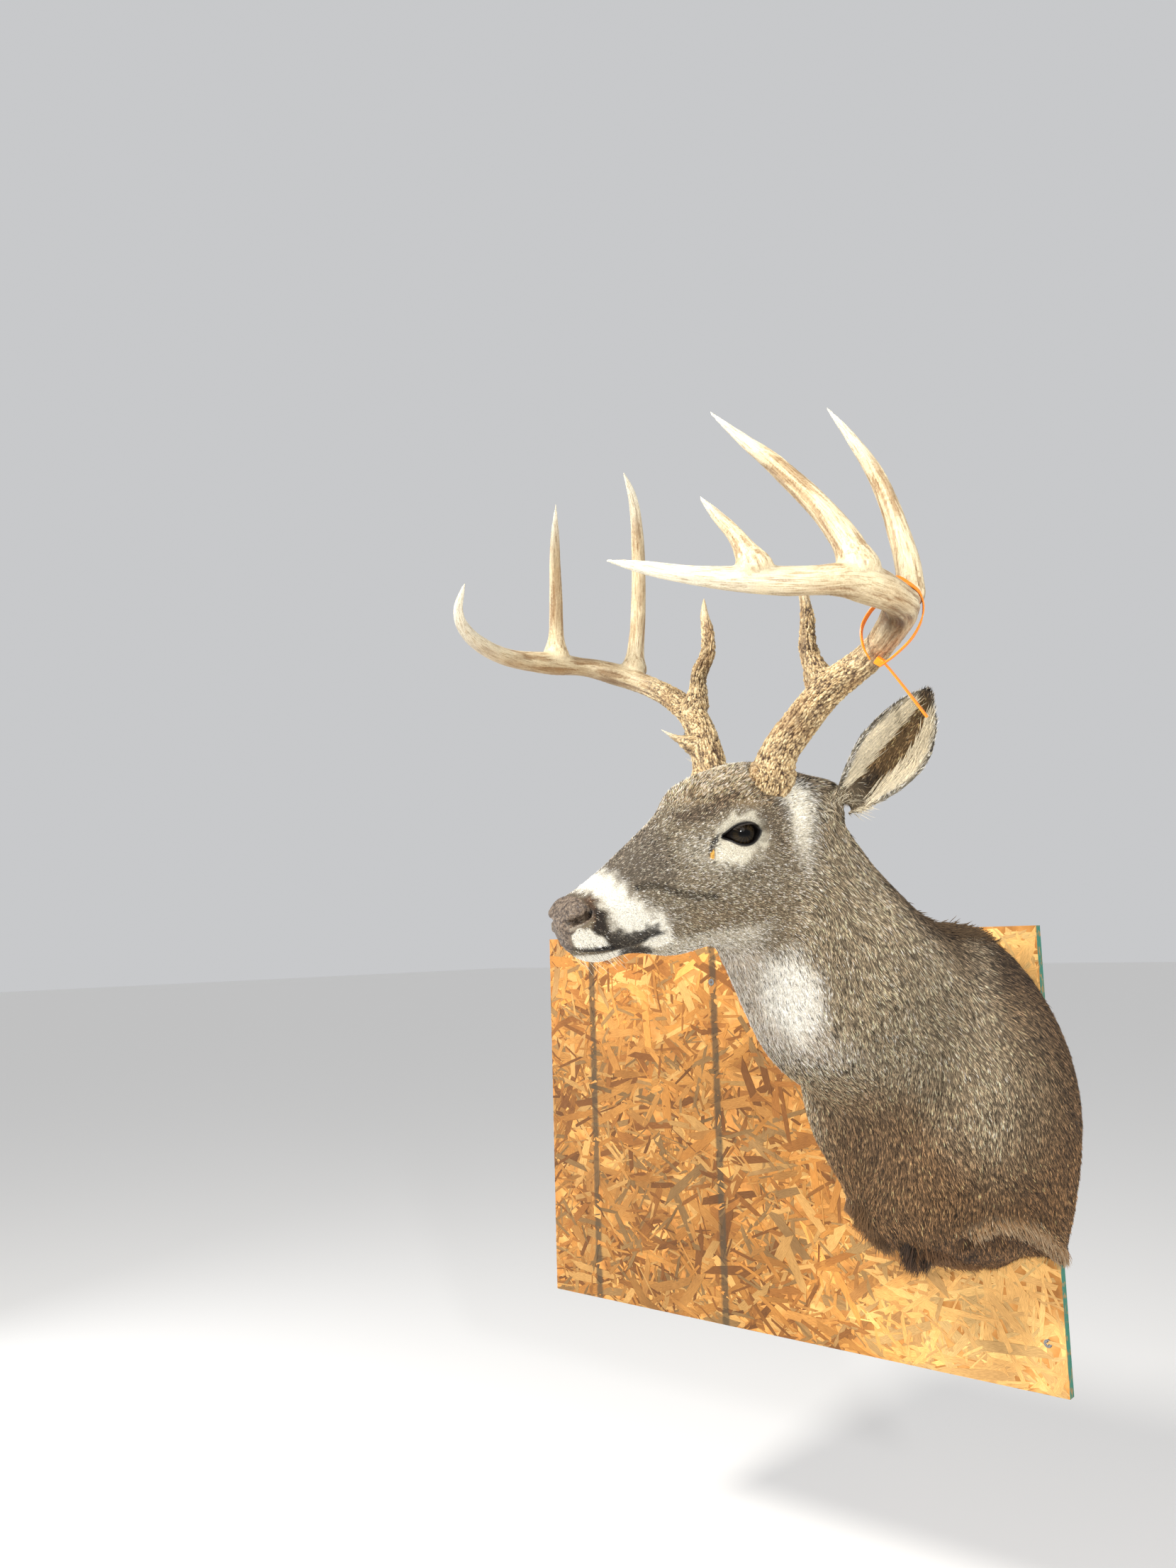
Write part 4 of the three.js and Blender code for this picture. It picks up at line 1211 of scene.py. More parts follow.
class BUCK_OT_long_hair(bpy.types.Operator):
    """Add the long hair: in the ears, the lashes and whiskers, the withers and the hide's edges"""

    bl_idname = "buck.long_hair"
    bl_label = "Long Hair"

    def execute(self, context):
        self.dice = np.random.default_rng(23)
        hide = bpy.data.objects["hide"]
        self.tree = face_tree(hide, points_of(hide))
        for name, side in SIDES.items():
            self.fill_ear(name)
            self.fringe(f"long_lashes_{name}", side)
        self.whiskers()
        self.body_tufts()
        return {"FINISHED"}

    def grow(self, name, roots, facing, toward, lengths, widths, lifts, base, tip, droop=0.0):
        dice = self.dice
        count = len(roots)
        lies = turn_about(flatten_to(toward, facing), facing, dice.normal(0, 0.12, count))
        spread = np.exp(dice.normal(0, 0.2, count))
        item = build_locks(
            name, roots, facing, lies, lengths * spread, widths * np.ones(count),
            np.radians(lifts) * np.exp(dice.normal(0, 0.25, count)),
            brighten(base * np.ones((count, 3)), 0.5), brighten(tip * np.ones((count, 3)), 0.5),
            bake_patches(roots),
            shape="bent", droop=droop)
        finish_piece(item, "coat", coat_material())

    def fill_ear(self, name):
        dice = self.dice
        side = SIDES[name]
        palette = COAT_COLOURS
        count = EAR_HAIRS
        t = 0.1 + 0.72 * dice.random(count) ** 0.9
        edge = np.where(dice.random(count) < 0.62, -1, 1) * side
        across = edge * (0.44 - 0.26 * dice.random(count) ** 1.2) * (1 - 0.3 * smooth(0.45, 0.85, t))
        spots = from_head(ear_points(name, t, across, np.ones(count, bool)))
        roots, facing = on_surface(self.tree, spots)
        axis = ear_axis(name)
        middle = from_head(ear_points(name, np.clip(t + 0.3, 0, 1), across * 0.2,
                                      np.ones(count, bool)))
        toward = unit(middle - roots) * 0.55 + axis @ HEAD_AXES.T
        lengths = between(25.0, 13.0, t)
        tone = np.exp(dice.normal(0, 0.14, count))[:, None]
        base = blend(palette["pale"], palette["ear_hair"], dice.random(count)) * tone
        tip = np.minimum(palette["ear_hair"] * tone, 0.93)
        self.grow(f"long_ear_{name}", roots, facing, toward, lengths, 0.65, 11.0, base, tip, 0.05)
        count = EAR_FRONT_HAIRS
        spots = spread_along(mirrored(EAR_FRONT, side), count, 4.5, dice)
        roots, facing = on_surface(self.tree, from_head(spots))
        toward = (axis + np.array([0.15, 0.2 * side, -0.9])) @ HEAD_AXES.T
        self.grow(f"long_ear_root_{name}", roots, facing, np.tile(toward, (count, 1)),
                  np.full(count, 17.0), 0.5, 8.0, palette["pale"], palette["ear_hair"], 0.1)

    def fringe(self, name, side):
        dice = self.dice
        centre, ahead, up, outward = eye_axes(side)
        upper, _ = rounded_line([(t, u, 0) for t, u in UPPER_LID[1:-2]], 0.4)
        t, u, _ = upper[dice.integers(len(upper), size=LASHES)].T
        out = np.sqrt(np.maximum(LID_BALL ** 2 - t ** 2 - u ** 2, 20)) + 1.0
        roots = centre + (t[:, None] * ahead + (u + 0.7)[:, None] * up + out[:, None] * outward)
        toward = outward * 0.75 - up * 0.25 - ahead * (0.55 - t / 60)[:, None]
        facing = unit(np.tile(up * 0.8 + outward * 0.4, (len(t), 1)))
        self.grow(name, from_head(roots), facing @ HEAD_AXES.T, toward @ HEAD_AXES.T,
                  np.full(len(t), 5.5), 0.32, 4.0, COAT_COLOURS["lip"], COAT_COLOURS["black"],
                  -0.15)

    def whiskers(self):
        dice = self.dice
        count = WHISKER_COUNT
        for label, line, length, tint in WHISKERS:
            sides = dice.choice([LEFT, RIGHT], count)
            spots = spread_along(line, count, 1.6, dice) * np.column_stack(
                [np.ones(count), sides, np.ones(count)])
            roots, facing = on_surface(self.tree, from_head(spots))
            toward = np.column_stack([np.full(count, -0.3), sides * 0.3, np.full(count, -0.8)])
            self.grow(label, roots, facing, toward @ HEAD_AXES.T, np.full(count, length), 0.3,
                      38.0, COAT_COLOURS[tint], COAT_COLOURS[tint], 0.25)

    def body_tufts(self):
        """Standing hair at the withers, and the loose edges of hide round the legs and brisket."""
        dice = self.dice
        for label, line, count, spread, length, lift, toward, base, tip in BODY_TUFTS:
            roots, facing = on_surface(self.tree, spread_along(line, count, spread, dice))
            keep = roots[:, 1] < -18
            count = int(keep.sum())
            root_tint = COAT_COLOURS[base]
            tip_tint = blend(COAT_COLOURS[tip], root_tint, dice.random(count) ** 2)
            ways = np.tile(np.array(toward, float), (count, 1))
            self.grow(label, roots[keep], facing[keep], ways, np.full(count, length), 1.2, lift,
                      root_tint, tip_tint, 0.12)


# ---------------------------------------------------------------- hide
SKIN_STEP = 2.4
HIDE_BACK = -11.6


class BUCK_OT_hide(bpy.types.Operator):
    """Make the seamless hide with its ears, nose, mouth and lids"""

    bl_idname = "buck.hide"
    bl_label = "Hide"

    def execute(self, context):
        flesh = [free_copy(node, f"flesh_{node}") for node in ("head", "neck", "trunk")]
        neck = points_of(flesh[1])
        middle = (neck.min(axis=0) + neck.max(axis=0)) / 2
        set_points(flesh[1], middle + (neck - middle) * 1.006)
        balls = [free_copy(f"eye_{name}", f"ball_{name}") for name in SIDES]
        shells = [ear_shell(name) for name in SIDES]
        hide = join_objects("hide", *flesh, *balls, *shells)
        hide.data.name = "hide"
        apply_modifier(hide, "REMESH", mode="VOXEL", voxel_size=SKIN_STEP * MM, adaptivity=0.0)
        hide = self.keep_largest(hide)
        self.even_out(hide)
        self.thin_body(hide)
        self.sculpt(hide)
        for side in SIDES.values():
            fit_lids(hide, side)
        points = points_of(hide)
        points[:, 1] = np.minimum(points[:, 1], HIDE_BACK)
        set_points(hide, points)
        tints = hide_colour(points)
        # The skin is painted darker than the markings, as painted shade between the locks; less so where the
        # hair is pale.
        paint(hide, "Coat", tints * (0.55 + 0.3 * smooth(0.3, 0.7, tints[:, :1])))
        head_points = to_head(points)
        store_number(hide, "Bare", bare_share(head_points))
        store_number(hide, "Nose", nose_share(head_points))
        shade_smooth(hide)
        finish_piece(hide, "coat", hide_material(), "head", "neck", "trunk", "ear_left", "ear_right")
        return {"FINISHED"}

    def keep_largest(self, hide):
        select_only(hide)
        bpy.ops.object.mode_set(mode="EDIT")
        bpy.ops.mesh.separate(type="LOOSE")
        bpy.ops.object.mode_set(mode="OBJECT")
        bodies = sorted(bpy.context.selected_objects, key=lambda item: len(item.data.vertices))
        for extra in bodies[:-1]:
            bpy.data.objects.remove(extra)
        bodies[-1].name = "hide"
        return bodies[-1]

    def even_out(self, hide):
        """Softens the facets, and draws the skin in by the depth of its coat."""
        head_points = to_head(points_of(hide))
        ears = EARS.find(head_points)[:, 0]
        on_head = head_share(head_points)
        softness = 1 - 0.5 * on_head
        softness *= 1 - 0.8 * ears
        group = hide.vertex_groups.new(name="softness")
        levels = np.round(softness * 10).astype(int)
        for level in range(1, 11):
            group.add(np.flatnonzero(levels == level).tolist(), level / 10, "REPLACE")
        apply_modifier(hide, "SMOOTH", factor=0.5, iterations=18, vertex_group="softness")
        points = points_of(hide)
        normals = normals_of(hide)
        depth = coat_depth(points)
        trunk = either_side(points)
        depth -= 6 * np.exp(-(distance_to_line(trunk, FLAP)[0] / 8) ** 2)
        depth += 4 * np.exp(-(distance_to_line(trunk, UNDER_FLAP)[0] / 9) ** 2)
        set_points(hide, points - normals * depth[:, None])
        apply_modifier(hide, "SMOOTH", factor=0.5, iterations=2)

    def thin_body(self, hide):
        """Uses fewer faces under the long coat of the neck and trunk."""
        head_points = to_head(points_of(hide))
        body = (1 - head_share(head_points)) * (1 - EARS.find(head_points)[:, 0])
        group = hide.vertex_groups.new(name="body")
        group.add(np.flatnonzero(body > 0.9).tolist(), 1.0, "REPLACE")
        apply_modifier(hide, "DECIMATE", ratio=0.38, vertex_group="body")

    def sculpt(self, hide):
        """Models the nostrils, mouth, cheek creases and tear lines."""
        for reach in (1.0, 0.55):
            points = to_head(points_of(hide))
            half = fold_head(points)
            fine = np.zeros(len(half), bool)
            for line, gap in ((NOSTRIL, 16), (MOUTH, 9), (TEAR_LINE, 8)):
                fine |= distance_to_line(half, line)[0] < gap * reach
            if reach == 1.0:
                eyes = np.linalg.norm((half - EYE_CENTRE) * [1, 0.6, 1], axis=1) < 40
                fine |= (half[:, 0] > 150) | (eyes & (half[:, 1] > 25))
                fine |= distance_to_line(half, CHEEK_CREASE)[0] < 8
            subdivide_where(hide, fine)
        apply_modifier(hide, "SMOOTH", factor=0.5, iterations=2)
        points = to_head(points_of(hide))
        normals = normals_of(hide) @ HEAD_AXES
        for groove in FACE_GROOVES:
            points = sculpt_groove(points, normals, *groove)
        set_points(hide, from_head(points))


# ---------------------------------------------------------------- antlers
ANTLERS = {
    "left": {
        "beam": (
            [(-48, 43, 43), (-54, 52, 68), (-66, 73, 95), (-77, 103, 123), (-85, 152, 149),
             (-77, 198, 182), (-43, 223, 192), (10, 226, 207), (72, 211, 211), (128, 170, 224),
             (171, 114, 247)],
            [(0, 21), (0.012, 22.5), (0.03, 19.5), (0.06, 18), (0.12, 17), (0.22, 15.6), (0.33, 13.5),
             (0.43, 16), (0.5, 14.5), (0.57, 16.5), (0.66, 12.5), (0.76, 11.5), (0.86, 8),
             (0.95, 5), (1, 1.4)]),
        "brow": (
            [(-77, 100, 121), (-79, 89, 142), (-81, 80, 165), (-91, 73, 190), (-92, 72, 212),
             (-86, 72, 236)],
            [(0, 13), (0.2, 11), (0.45, 8.5), (0.75, 6), (0.93, 3.4), (1, 1.2)]),
        "second": (
            [(-80, 199, 184), (-90, 201, 210), (-96, 190, 252), (-95, 174, 304), (-83, 158, 345),
             (-69, 147, 373)],
            [(0, 13), (0.15, 11.8), (0.4, 9.6), (0.68, 7.4), (0.88, 4.2), (1, 1.2)]),
        "third": (
            [(4, 228, 203), (1, 223, 226), (5, 206, 260), (25, 172, 312), (39, 148, 341),
             (53, 127, 369)],
            [(0, 19), (0.12, 14.5), (0.3, 11.2), (0.6, 8.8), (0.85, 4.6), (1, 1.2)]),
        "fourth": (
            [(88, 202, 212), (91, 196, 232), (95, 187, 252), (101, 175, 270), (108, 164, 288)],
            [(0, 16), (0.2, 11.5), (0.45, 7.4), (0.8, 4.4), (1, 1.2)]),
    },
    "right": {
        "beam": (
            [(-48, 43, 43), (-54, 52, 70), (-66, 72, 95), (-80, 104, 119), (-85, 152, 144),
             (-77, 195, 164), (-43, 222, 182), (7, 225, 191), (73, 212, 201), (134, 178, 222),
             (169, 136, 244), (172, 112, 267)],
            [(0, 19), (0.012, 20.5), (0.03, 17.6), (0.06, 16.6), (0.12, 15.6), (0.22, 13.5), (0.33, 11.5),
             (0.42, 12.5), (0.5, 10.5), (0.56, 12.5), (0.66, 10), (0.78, 8.6), (0.9, 6),
             (0.97, 3.6), (1, 1.3)]),
        "brow": (
            [(-78, 98, 114), (-80, 87, 136), (-82, 84, 156), (-86, 70, 178), (-86, 66, 198),
             (-91, 74, 218), (-91, 71, 237)],
            [(0, 14), (0.2, 9.6), (0.45, 8.4), (0.7, 6.6), (0.9, 4), (1, 1.2)]),
        "second": (
            [(-80, 197, 163), (-91, 201, 190), (-98, 192, 250), (-95, 176, 322), (-82, 160, 362),
             (-64, 148, 387)],
            [(0, 14), (0.12, 10.4), (0.35, 8.6), (0.7, 7), (0.9, 4.4), (1, 1.2)]),
        "third": (
            [(1, 228, 187), (-1, 226, 208), (4, 208, 256), (19, 176, 308), (44, 128, 347)],
            [(0, 14), (0.15, 9.4), (0.4, 7.4), (0.75, 5), (1, 1.2)]),
        "sticker": (
            [(-50, 56, 76), (-44, 66, 86), (-34, 76, 94), (-22, 84, 105)],
            [(0, 9), (0.3, 6.5), (0.65, 3.6), (1, 1)]),
    },
}
ANTLER_NODES = {
    name: [f"antler_{name}_{part}" for part in
           ("beam_lower", "beam_middle", "beam_outer", *list(parts)[1:])]
    for name, parts in ANTLERS.items()
}
BEAM, BROW, STICKER = 0, 1, 4
HORN_COLOURS = {
    "pit": colour(66, 44, 26),
    "tan": colour(190, 161, 115),
    "pearl": colour(230, 211, 168),
    "ivory": colour(220, 204, 168),
    "stain": colour(140, 104, 62),
    "white": colour(233, 228, 208),
    "umber": colour(72, 56, 38),
}
# The dark patch at a beam's bend, partly stain and partly painted shade: how far along it lies, and the way
# it faces.
ELBOW = 0.44
ELBOW_FACING = (0.76, 0.65, 0)
HORN_STEP = 4.0
HORN_AROUND = 24
SOCKET_DEPTH = 11.0


def carried_frames(curve):
    """Directions across a curve that turn with it and never spin about it."""
    ahead = unit(np.gradient(curve, axis=0))
    side = unit(np.cross(ahead[0], [0.3, 0.9, 0.2]))
    sides = [side]
    for direction in ahead[1:]:
        side = side - direction * (side @ direction)
        side = side / np.linalg.norm(side)
        sides.append(side)
    sides = np.array(sides)
    return ahead, sides, np.cross(ahead, sides)


def horn_line(path, side):
    """The centre line of a beam or tine in the head's frame, and the share of the way along it."""
    curve, places = rounded_line(mirrored(path, side), HORN_STEP)
    return curve, places / places[-1], places[-1]


def horn_radius(part, girth, share, length):
    """The radius along a beam or tine; a tine starts slim inside its beam and flares as it leaves it."""
    radius = along(girth, share)
    if part == "beam":
        return radius
    run = share * length
    return radius * (0.45 + 0.55 * smooth(0, 11, run)) + 3.2 * np.exp(-((run - 15) / 9) ** 2)


def horn_tube(name, part, path, girth, side):
    """A closed tapering tube for one beam or tine."""
    curve, share, length = horn_line(path, side)
    _, across, over = carried_frames(curve)
    radius = horn_radius(part, girth, share, length)
    turns = np.linspace(0, 2 * math.pi, HORN_AROUND, endpoint=False)
    ring = (across[:, None] * np.cos(turns)[None, :, None]
            + over[:, None] * np.sin(turns)[None, :, None])
    if part == "beam":
        curve[0] -= SOCKET_DEPTH * unit(curve[1] - curve[0])
    points = curve[:, None] + ring * radius[:, None, None]
    tube = mesh_object(name, from_head(points.reshape(-1, 3)), grid_faces(len(curve), HORN_AROUND))
    turn_faces_out(tube, fill=True)
    return tube


def horn_places(points, name):
    """For each point of an antler: its part, the share and run along it, the angle and radius round
    it, and how far it is from the next part."""
    gaps, rows = [], []
    for number, (part, (path, girth)) in enumerate(ANTLERS[name].items()):
        curve, share, length = horn_line(path, SIDES[name])
        ahead, across, over = carried_frames(curve)
        i = nearest_samples(points, curve)
        offset = points - curve[i]
        radius = horn_radius(part, girth, share, length)[i]
        run = share[i] * length + np.sum(offset * ahead[i], axis=1)
        angle = np.arctan2(np.sum(offset * over[i], axis=1), np.sum(offset * across[i], axis=1))
        gaps.append(np.linalg.norm(offset, axis=1) - radius)
        rows.append(np.stack([np.full(len(points), number), run / length, run, angle, radius]))
    order = np.argsort(gaps, axis=0)
    every = np.arange(len(points))
    nearest = np.array(rows)[order[0], :, every].T
    apart = np.array(gaps)[order[1], every] - np.array(gaps)[order[0], every]
    return (*nearest, apart)


class BUCK_PG_antler(bpy.types.PropertyGroup):
    """How rough the antlers are."""

    pearls: bpy.props.FloatProperty(
        name="Pearling", description="Height of the beads low on the beams, in millimetres",
        default=1.1, min=0.0, max=4.0)
    grooves: bpy.props.FloatProperty(
        name="Grooves", description="Depth of the channels along the beams, in millimetres",
        default=0.75, min=0.0, max=3.0)


class BUCK_OT_antlers(bpy.types.Operator):
    """Grow both antlers with their tines, pearling and grooves"""

    bl_idname = "buck.antlers"
    bl_label = "Antlers"

    def execute(self, context):
        settings = context.scene.buck_antler
        for name, parts in ANTLERS.items():
            tubes = [horn_tube(f"horn_{name}_{part}", part, path, girth, SIDES[name])
                     for part, (path, girth) in parts.items()]
            antler = join_objects(f"antler_{name}", *tubes)
            antler.data.name = antler.name
            apply_modifier(antler, "REMESH", mode="VOXEL", voxel_size=1.8 * MM, adaptivity=0.0)
            apply_modifier(antler, "SMOOTH", factor=0.5, iterations=8)
            head_points = to_head(points_of(antler))
            part, share = horn_places(head_points, name)[:2]
            rough = (part == BEAM) & (share < 0.34) | (part == BROW) & (share < 0.9)
            subdivide_where(antler, rough)
            self.roughen(antler, name, settings)
            shade_smooth(antler)
            finish_piece(antler, "antler", antler_material(), *ANTLER_NODES[name])
        return {"FINISHED"}

    def roughen(self, antler, name, settings):
        """Raises the pearls and cuts the channels, and colours them from pits to polished tips."""
        points = to_head(points_of(antler))
        normals = normals_of(antler) @ HEAD_AXES
        part, share, run, angle, radius, apart = horn_places(points, name)
        seed = 3 if name == "left" else 6
        low = np.where(part == BEAM, 1 - smooth(0.19, 0.45, share),
                       np.where(part == BROW, 1 - smooth(0.62, 0.95, share), 0.0))
        if name == "right":
            low = np.where(part == STICKER, 1 - smooth(0.3, 0.9, share), low)
        around = np.column_stack([np.cos(angle) * radius, np.sin(angle) * radius, run])
        bead = beads(around + blotches(around, 4, seed)[:, None] * 2, (2.1, 2.1, 7.5), seed)
        knob = smooth(0.55, 0.9, blotches(around, (4.5, 4.5, 8), seed + 1))
        hollow = smooth(0.56, 0.8, blotches(around, (2.0, 2.0, 8.0), seed + 6))
        channel = blotches(around, (4.2, 4.2, 55), seed + 2) * 0.65
        channel = channel + blotches(around, (2.0, 2.0, 34), seed + 3) * 0.35
        channel = smooth(0.52, 0.28, channel)
        fine = blotches(around, (1.3, 1.3, 22), seed + 4)
        patch = blotches(around, (16, 16, 30), seed + 5)
        worn = smooth(0.62, 1.0, share) * (part != BROW)
        burr = np.exp(-((share - 0.012) / 0.018) ** 2) * (part == BEAM)
        height = bead - 0.5 + 0.6 * knob - 1.1 * hollow + burr * (bead + knob)
        height = settings.pearls * low * height
        height = height - settings.grooves * channel * (1 - worn) * (1 - 0.6 * low)
        height = height + 0.35 * (fine - 0.5) * (1 - 0.7 * worn)
        taper = smooth(1.5, 6, radius) * (0.25 + 0.75 * smooth(0, 4, apart))
        set_points(antler, from_head(points + normals * (height * taper)[:, None]))

        pit, tan, pearl, ivory, stain, white, umber = HORN_COLOURS.values()
        facing = normals_of(antler)
        rough = blend(pit, tan, smooth(-0.1, 0.35, bead + 0.3 * knob - 0.5 * hollow))
        rough = blend(rough, pearl, smooth(0.55, 1.15, bead + knob * 0.5 - hollow) * 0.85)
        rough = blend(rough, stain, smooth(0.55, 0.8, patch) * 0.35)
        rough = blend(rough, pit, smooth(0.3, 0.9, channel) * 0.4)
        grooved = smooth(0.25, 0.9, channel) * 0.6 + smooth(0.5, 0.28, fine) * 0.25
        # Painted shade mixed with the real stain patches: the horn darkens where it faces down and back, and
        # the right antler darkens more overall.
        facing_down = smooth(0.1, -0.8, facing[:, 2] - 0.3 * facing[:, 1])
        stain_and_shade = smooth(0.45, 0.8, patch) * 0.3 + facing_down * 0.45
        stain_and_shade = stain_and_shade * (1 - 0.75 * worn) * (0.85 if name == "right" else 0.65)
        stain_and_shade = np.clip(stain_and_shade + (0.1 * (1 - worn) if name == "right" else 0.0), 0, 0.8)
        # At the bend, mostly on the left beam, a dark umber patch that is partly stain and partly painted
        # shade, strongest on the side turned away from ELBOW_FACING.
        elbow = np.exp(-((share - ELBOW) / 0.085) ** 2) * (part == BEAM)
        elbow *= smooth(0.6, -0.2, facing @ ELBOW_FACING) * (1 if name == "left" else 0.3)
        upper = blend(ivory, stain, np.clip(grooved, 0, 1))
        upper = blend(blend(upper, stain, stain_and_shade), white, worn * 0.9)
        upper = blend(blend(ivory, stain, stain_and_shade), upper, smooth(0, 7, apart))
        upper = blend(upper, umber, elbow * (0.8 + 0.2 * smooth(0.75, 0.35, fine)))
        tint = blend(upper, rough, smooth(0.0, 0.9, low))
        paint(antler, "Horn", tint)
        layer = antler.data.attributes.new(name="Grain", type="FLOAT_VECTOR", domain="POINT")
        layer.data.foreach_set("vector", (around * MM).astype(np.float32).ravel())
        store_number(antler, "Rough", low)
        store_number(antler, "Lined", 0.75 * smooth(0.5, 7, apart))


# ---------------------------------------------------------------- eyes
EYE_SEGMENTS = 72
EYE_RINGS = 40
IRIS = 12.6


class BUCK_OT_eyes(bpy.types.Operator):
    """Set the two glass eyes"""

    bl_idname = "buck.eyes"
    bl_label = "Eyes"

    def execute(self, context):
        for name, side in SIDES.items():
            centre, ahead, up, outward = eye_axes(side)
            bpy.ops.mesh.primitive_uv_sphere_add(
                segments=EYE_SEGMENTS, ring_count=EYE_RINGS, radius=16.8 * MM)
            eye = bpy.context.object
            eye.name = f"glass_eye_{name}"
            ball = points_of(eye)
            reach = np.hypot(ball[:, 0], ball[:, 1])
            front = ball[:, 2] > 0
            cornea = np.where(front, 0.5 * smooth(13.5, 0, reach), 0)
            ball[:, 2] += cornea
            across = side * ball[:, :1]
            head_points = centre + across * ahead + ball[:, 1:2] * up + ball[:, 2:] * outward
            set_points(eye, from_head(head_points))
            angle = np.arctan2(ball[:, 1], ball[:, 0])
            ray = 0.5 + 0.5 * np.sin(angle * 37 + 3 * np.sin(angle * 11))
            pupil = smooth(1.1, 0.9, np.hypot(ball[:, 0] / 6.4, ball[:, 1] / 3.6))
            tint = blend(colour(13, 10, 7), colour(46, 36, 20), ray * 0.8)
            tint = blend(tint, colour(14, 10, 8), smooth(IRIS - 3.5, IRIS - 0.6, reach))
            tint = blend(tint, colour(6, 6, 7), pupil)
            tint = blend(tint, colour(20, 15, 12), np.where(front, smooth(15.2, 16.4, reach), 1))
            paint(eye, "Iris", tint)
            turn_faces_out(eye)
            shade_smooth(eye)
            finish_piece(eye, "eye", eye_material(), f"eye_{name}")
        return {"FINISHED"}


# ---------------------------------------------------------------- cable tie
TIE_LOOP = [(-74, 172, 138), (-79, 186, 146), (-85, 203, 160), (-95, 207, 177), (-84, 216, 195),
            (-71, 213, 206), (-70, 203, 212), (-78, 188, 209), (-86, 174, 199), (-80, 161, 187),
            (-68, 160, 172), (-65, 163, 156), (-69, 165, 145)]
TIE_TAIL = [(-75.6, 171, 143), (-78, 174, 139), (-85, 183, 121), (-96, 199, 88)]
TIE_LOCK = (-75.5, 170, 142)
TIE_WIDTH = 4.8
TIE_THICKNESS = 1.3


def strap(name, line, inward, teeth):
    """A flat strap along a curve, with bevelled edges and fine teeth across its inner face."""
    curve = rounded_line(line, 0.55)[0]
    ahead = unit(np.gradient(curve, axis=0))
    across = unit(np.cross(ahead, inward - curve))
    outward = np.cross(across, ahead)
    half = TIE_WIDTH / 2
    thick = TIE_THICKNESS / 2
    section = [(-half, -thick * 0.6), (-half * 0.86, -thick), (half * 0.86, -thick),
               (half, -thick * 0.6), (half, thick * 0.6), (half * 0.86, thick),
               (half * 0.45, thick), (-half * 0.45, thick), (-half * 0.86, thick),
               (-half, thick * 0.6)]
    ridge = 0.22 * (np.arange(len(curve)) % 3 == 0) * teeth
    rings = []
    for number, (w, h) in enumerate(section):
        lift = h - ridge if number in (6, 7) else np.full(len(curve), h)
        rings.append(curve + across * w + outward * lift[:, None])
    points = np.stack(rings, axis=1).reshape(-1, 3)
    item = mesh_object(name, from_head(points), grid_faces(len(curve), len(section)), smoothed=False)
    turn_faces_out(item, fill=True)
    return item


class BUCK_OT_cable_tie(bpy.types.Operator):
    """Thread the orange cable tie round the left beam"""

    bl_idname = "buck.cable_tie"
    bl_label = "Cable Tie"

    def execute(self, context):
        inward = (np.min(TIE_LOOP, axis=0) + np.max(TIE_LOOP, axis=0)) / 2
        loop = strap("cable_tie_strap", TIE_LOOP, inward, 1.0)
        tail = strap("cable_tie_end", TIE_TAIL, inward, 1.0)
        bpy.ops.mesh.primitive_cube_add(size=1 * MM)
        lock = bpy.context.object
        lock.name = "cable_tie_head"
        box = points_of(lock) * (8.6, 7.6, 6.6)
        ahead = unit(np.array(TIE_LOOP[0], float) - TIE_LOOP[-1])
        across = unit(np.cross(ahead, inward - np.array(TIE_LOCK)))
        axes = np.stack([across, ahead, np.cross(across, ahead)])
        set_points(lock, from_head(box @ axes + TIE_LOCK))
        apply_modifier(lock, "BEVEL", width=0.8 * MM, segments=3, limit_method="ANGLE")
        tie = join_objects("cable_tie", lock, loop, tail)
        bpy.ops.object.transform_apply(location=True, rotation=True, scale=True)
        turn_faces_out(tie)
        bpy.ops.object.shade_smooth_by_angle(angle=math.radians(35))
        finish_piece(tie, "tie_plastic", tie_material(),
                     "cable_tie_loop", "cable_tie_tail", "cable_tie_lock")
        return {"FINISHED"}


# ---------------------------------------------------------------- board
BOARD_LOW, BOARD_HIGH = (np.array(corner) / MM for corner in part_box("board"))
PRINTED_LINES = (-69.3, -272.5)


class BUCK_PG_board(bpy.types.PropertyGroup):
    """How the strand board's face is laid."""

    strands: bpy.props.IntProperty(
        name="Strands", description="How many wood strands lie on each face", default=3800,
        min=100, max=9000)
    relief: bpy.props.FloatProperty(
        name="Relief", description="How far the strands stand off the face",
        default=0.6 * MM, min=0.0, max=3 * MM, unit="LENGTH")
    paint_edge: bpy.props.FloatVectorProperty(
        name="Edge paint", description="Colour of the paint on the sheet's own edges",
        default=tuple(colour(58, 122, 104)), size=3, subtype="COLOR", min=0, max=1)


STRAND_COLOURS = np.array([
    colour(222, 160, 84), colour(208, 144, 68), colour(184, 122, 56), colour(236, 184, 110),
    colour(150, 96, 42), colour(216, 154, 78), colour(168, 130, 80)])
# The pale tint of a painted pool of light towards the right of the board's front face.
PAINTED_LIGHT = colour(250, 214, 146)


def strand_faces():
    """Quads of one strand: its six sides, then its top and underside."""
    ring = np.arange(6)
    beside = (ring + 1) % 6
    caps = np.array([[0, 1, 4, 5], [1, 2, 3, 4]])
    return np.concatenate([
        np.column_stack([ring, beside, 6 + beside, 6 + ring]), caps + 6, caps[:, ::-1]])


def strand_outline(dice, length, width):
    """A splintered flat chip: long, with slanted ragged ends."""
    slant = dice.uniform(-0.8, 0.8, 2) * width
    bulge = dice.uniform(0.8, 1.15, 2) * width / 2
    x = np.array([-0.5, dice.uniform(-0.2, 0.2), 0.5, 0.5, dice.uniform(-0.2, 0.2), -0.5]) * length
    x = x + np.array([slant[0], 0, slant[1], -slant[1], 0, -slant[0]])
    y = np.array([-width * 0.42, -bulge[0], -width * 0.36, width * 0.4, bulge[1], width * 0.38])
    return np.column_stack([x, y])


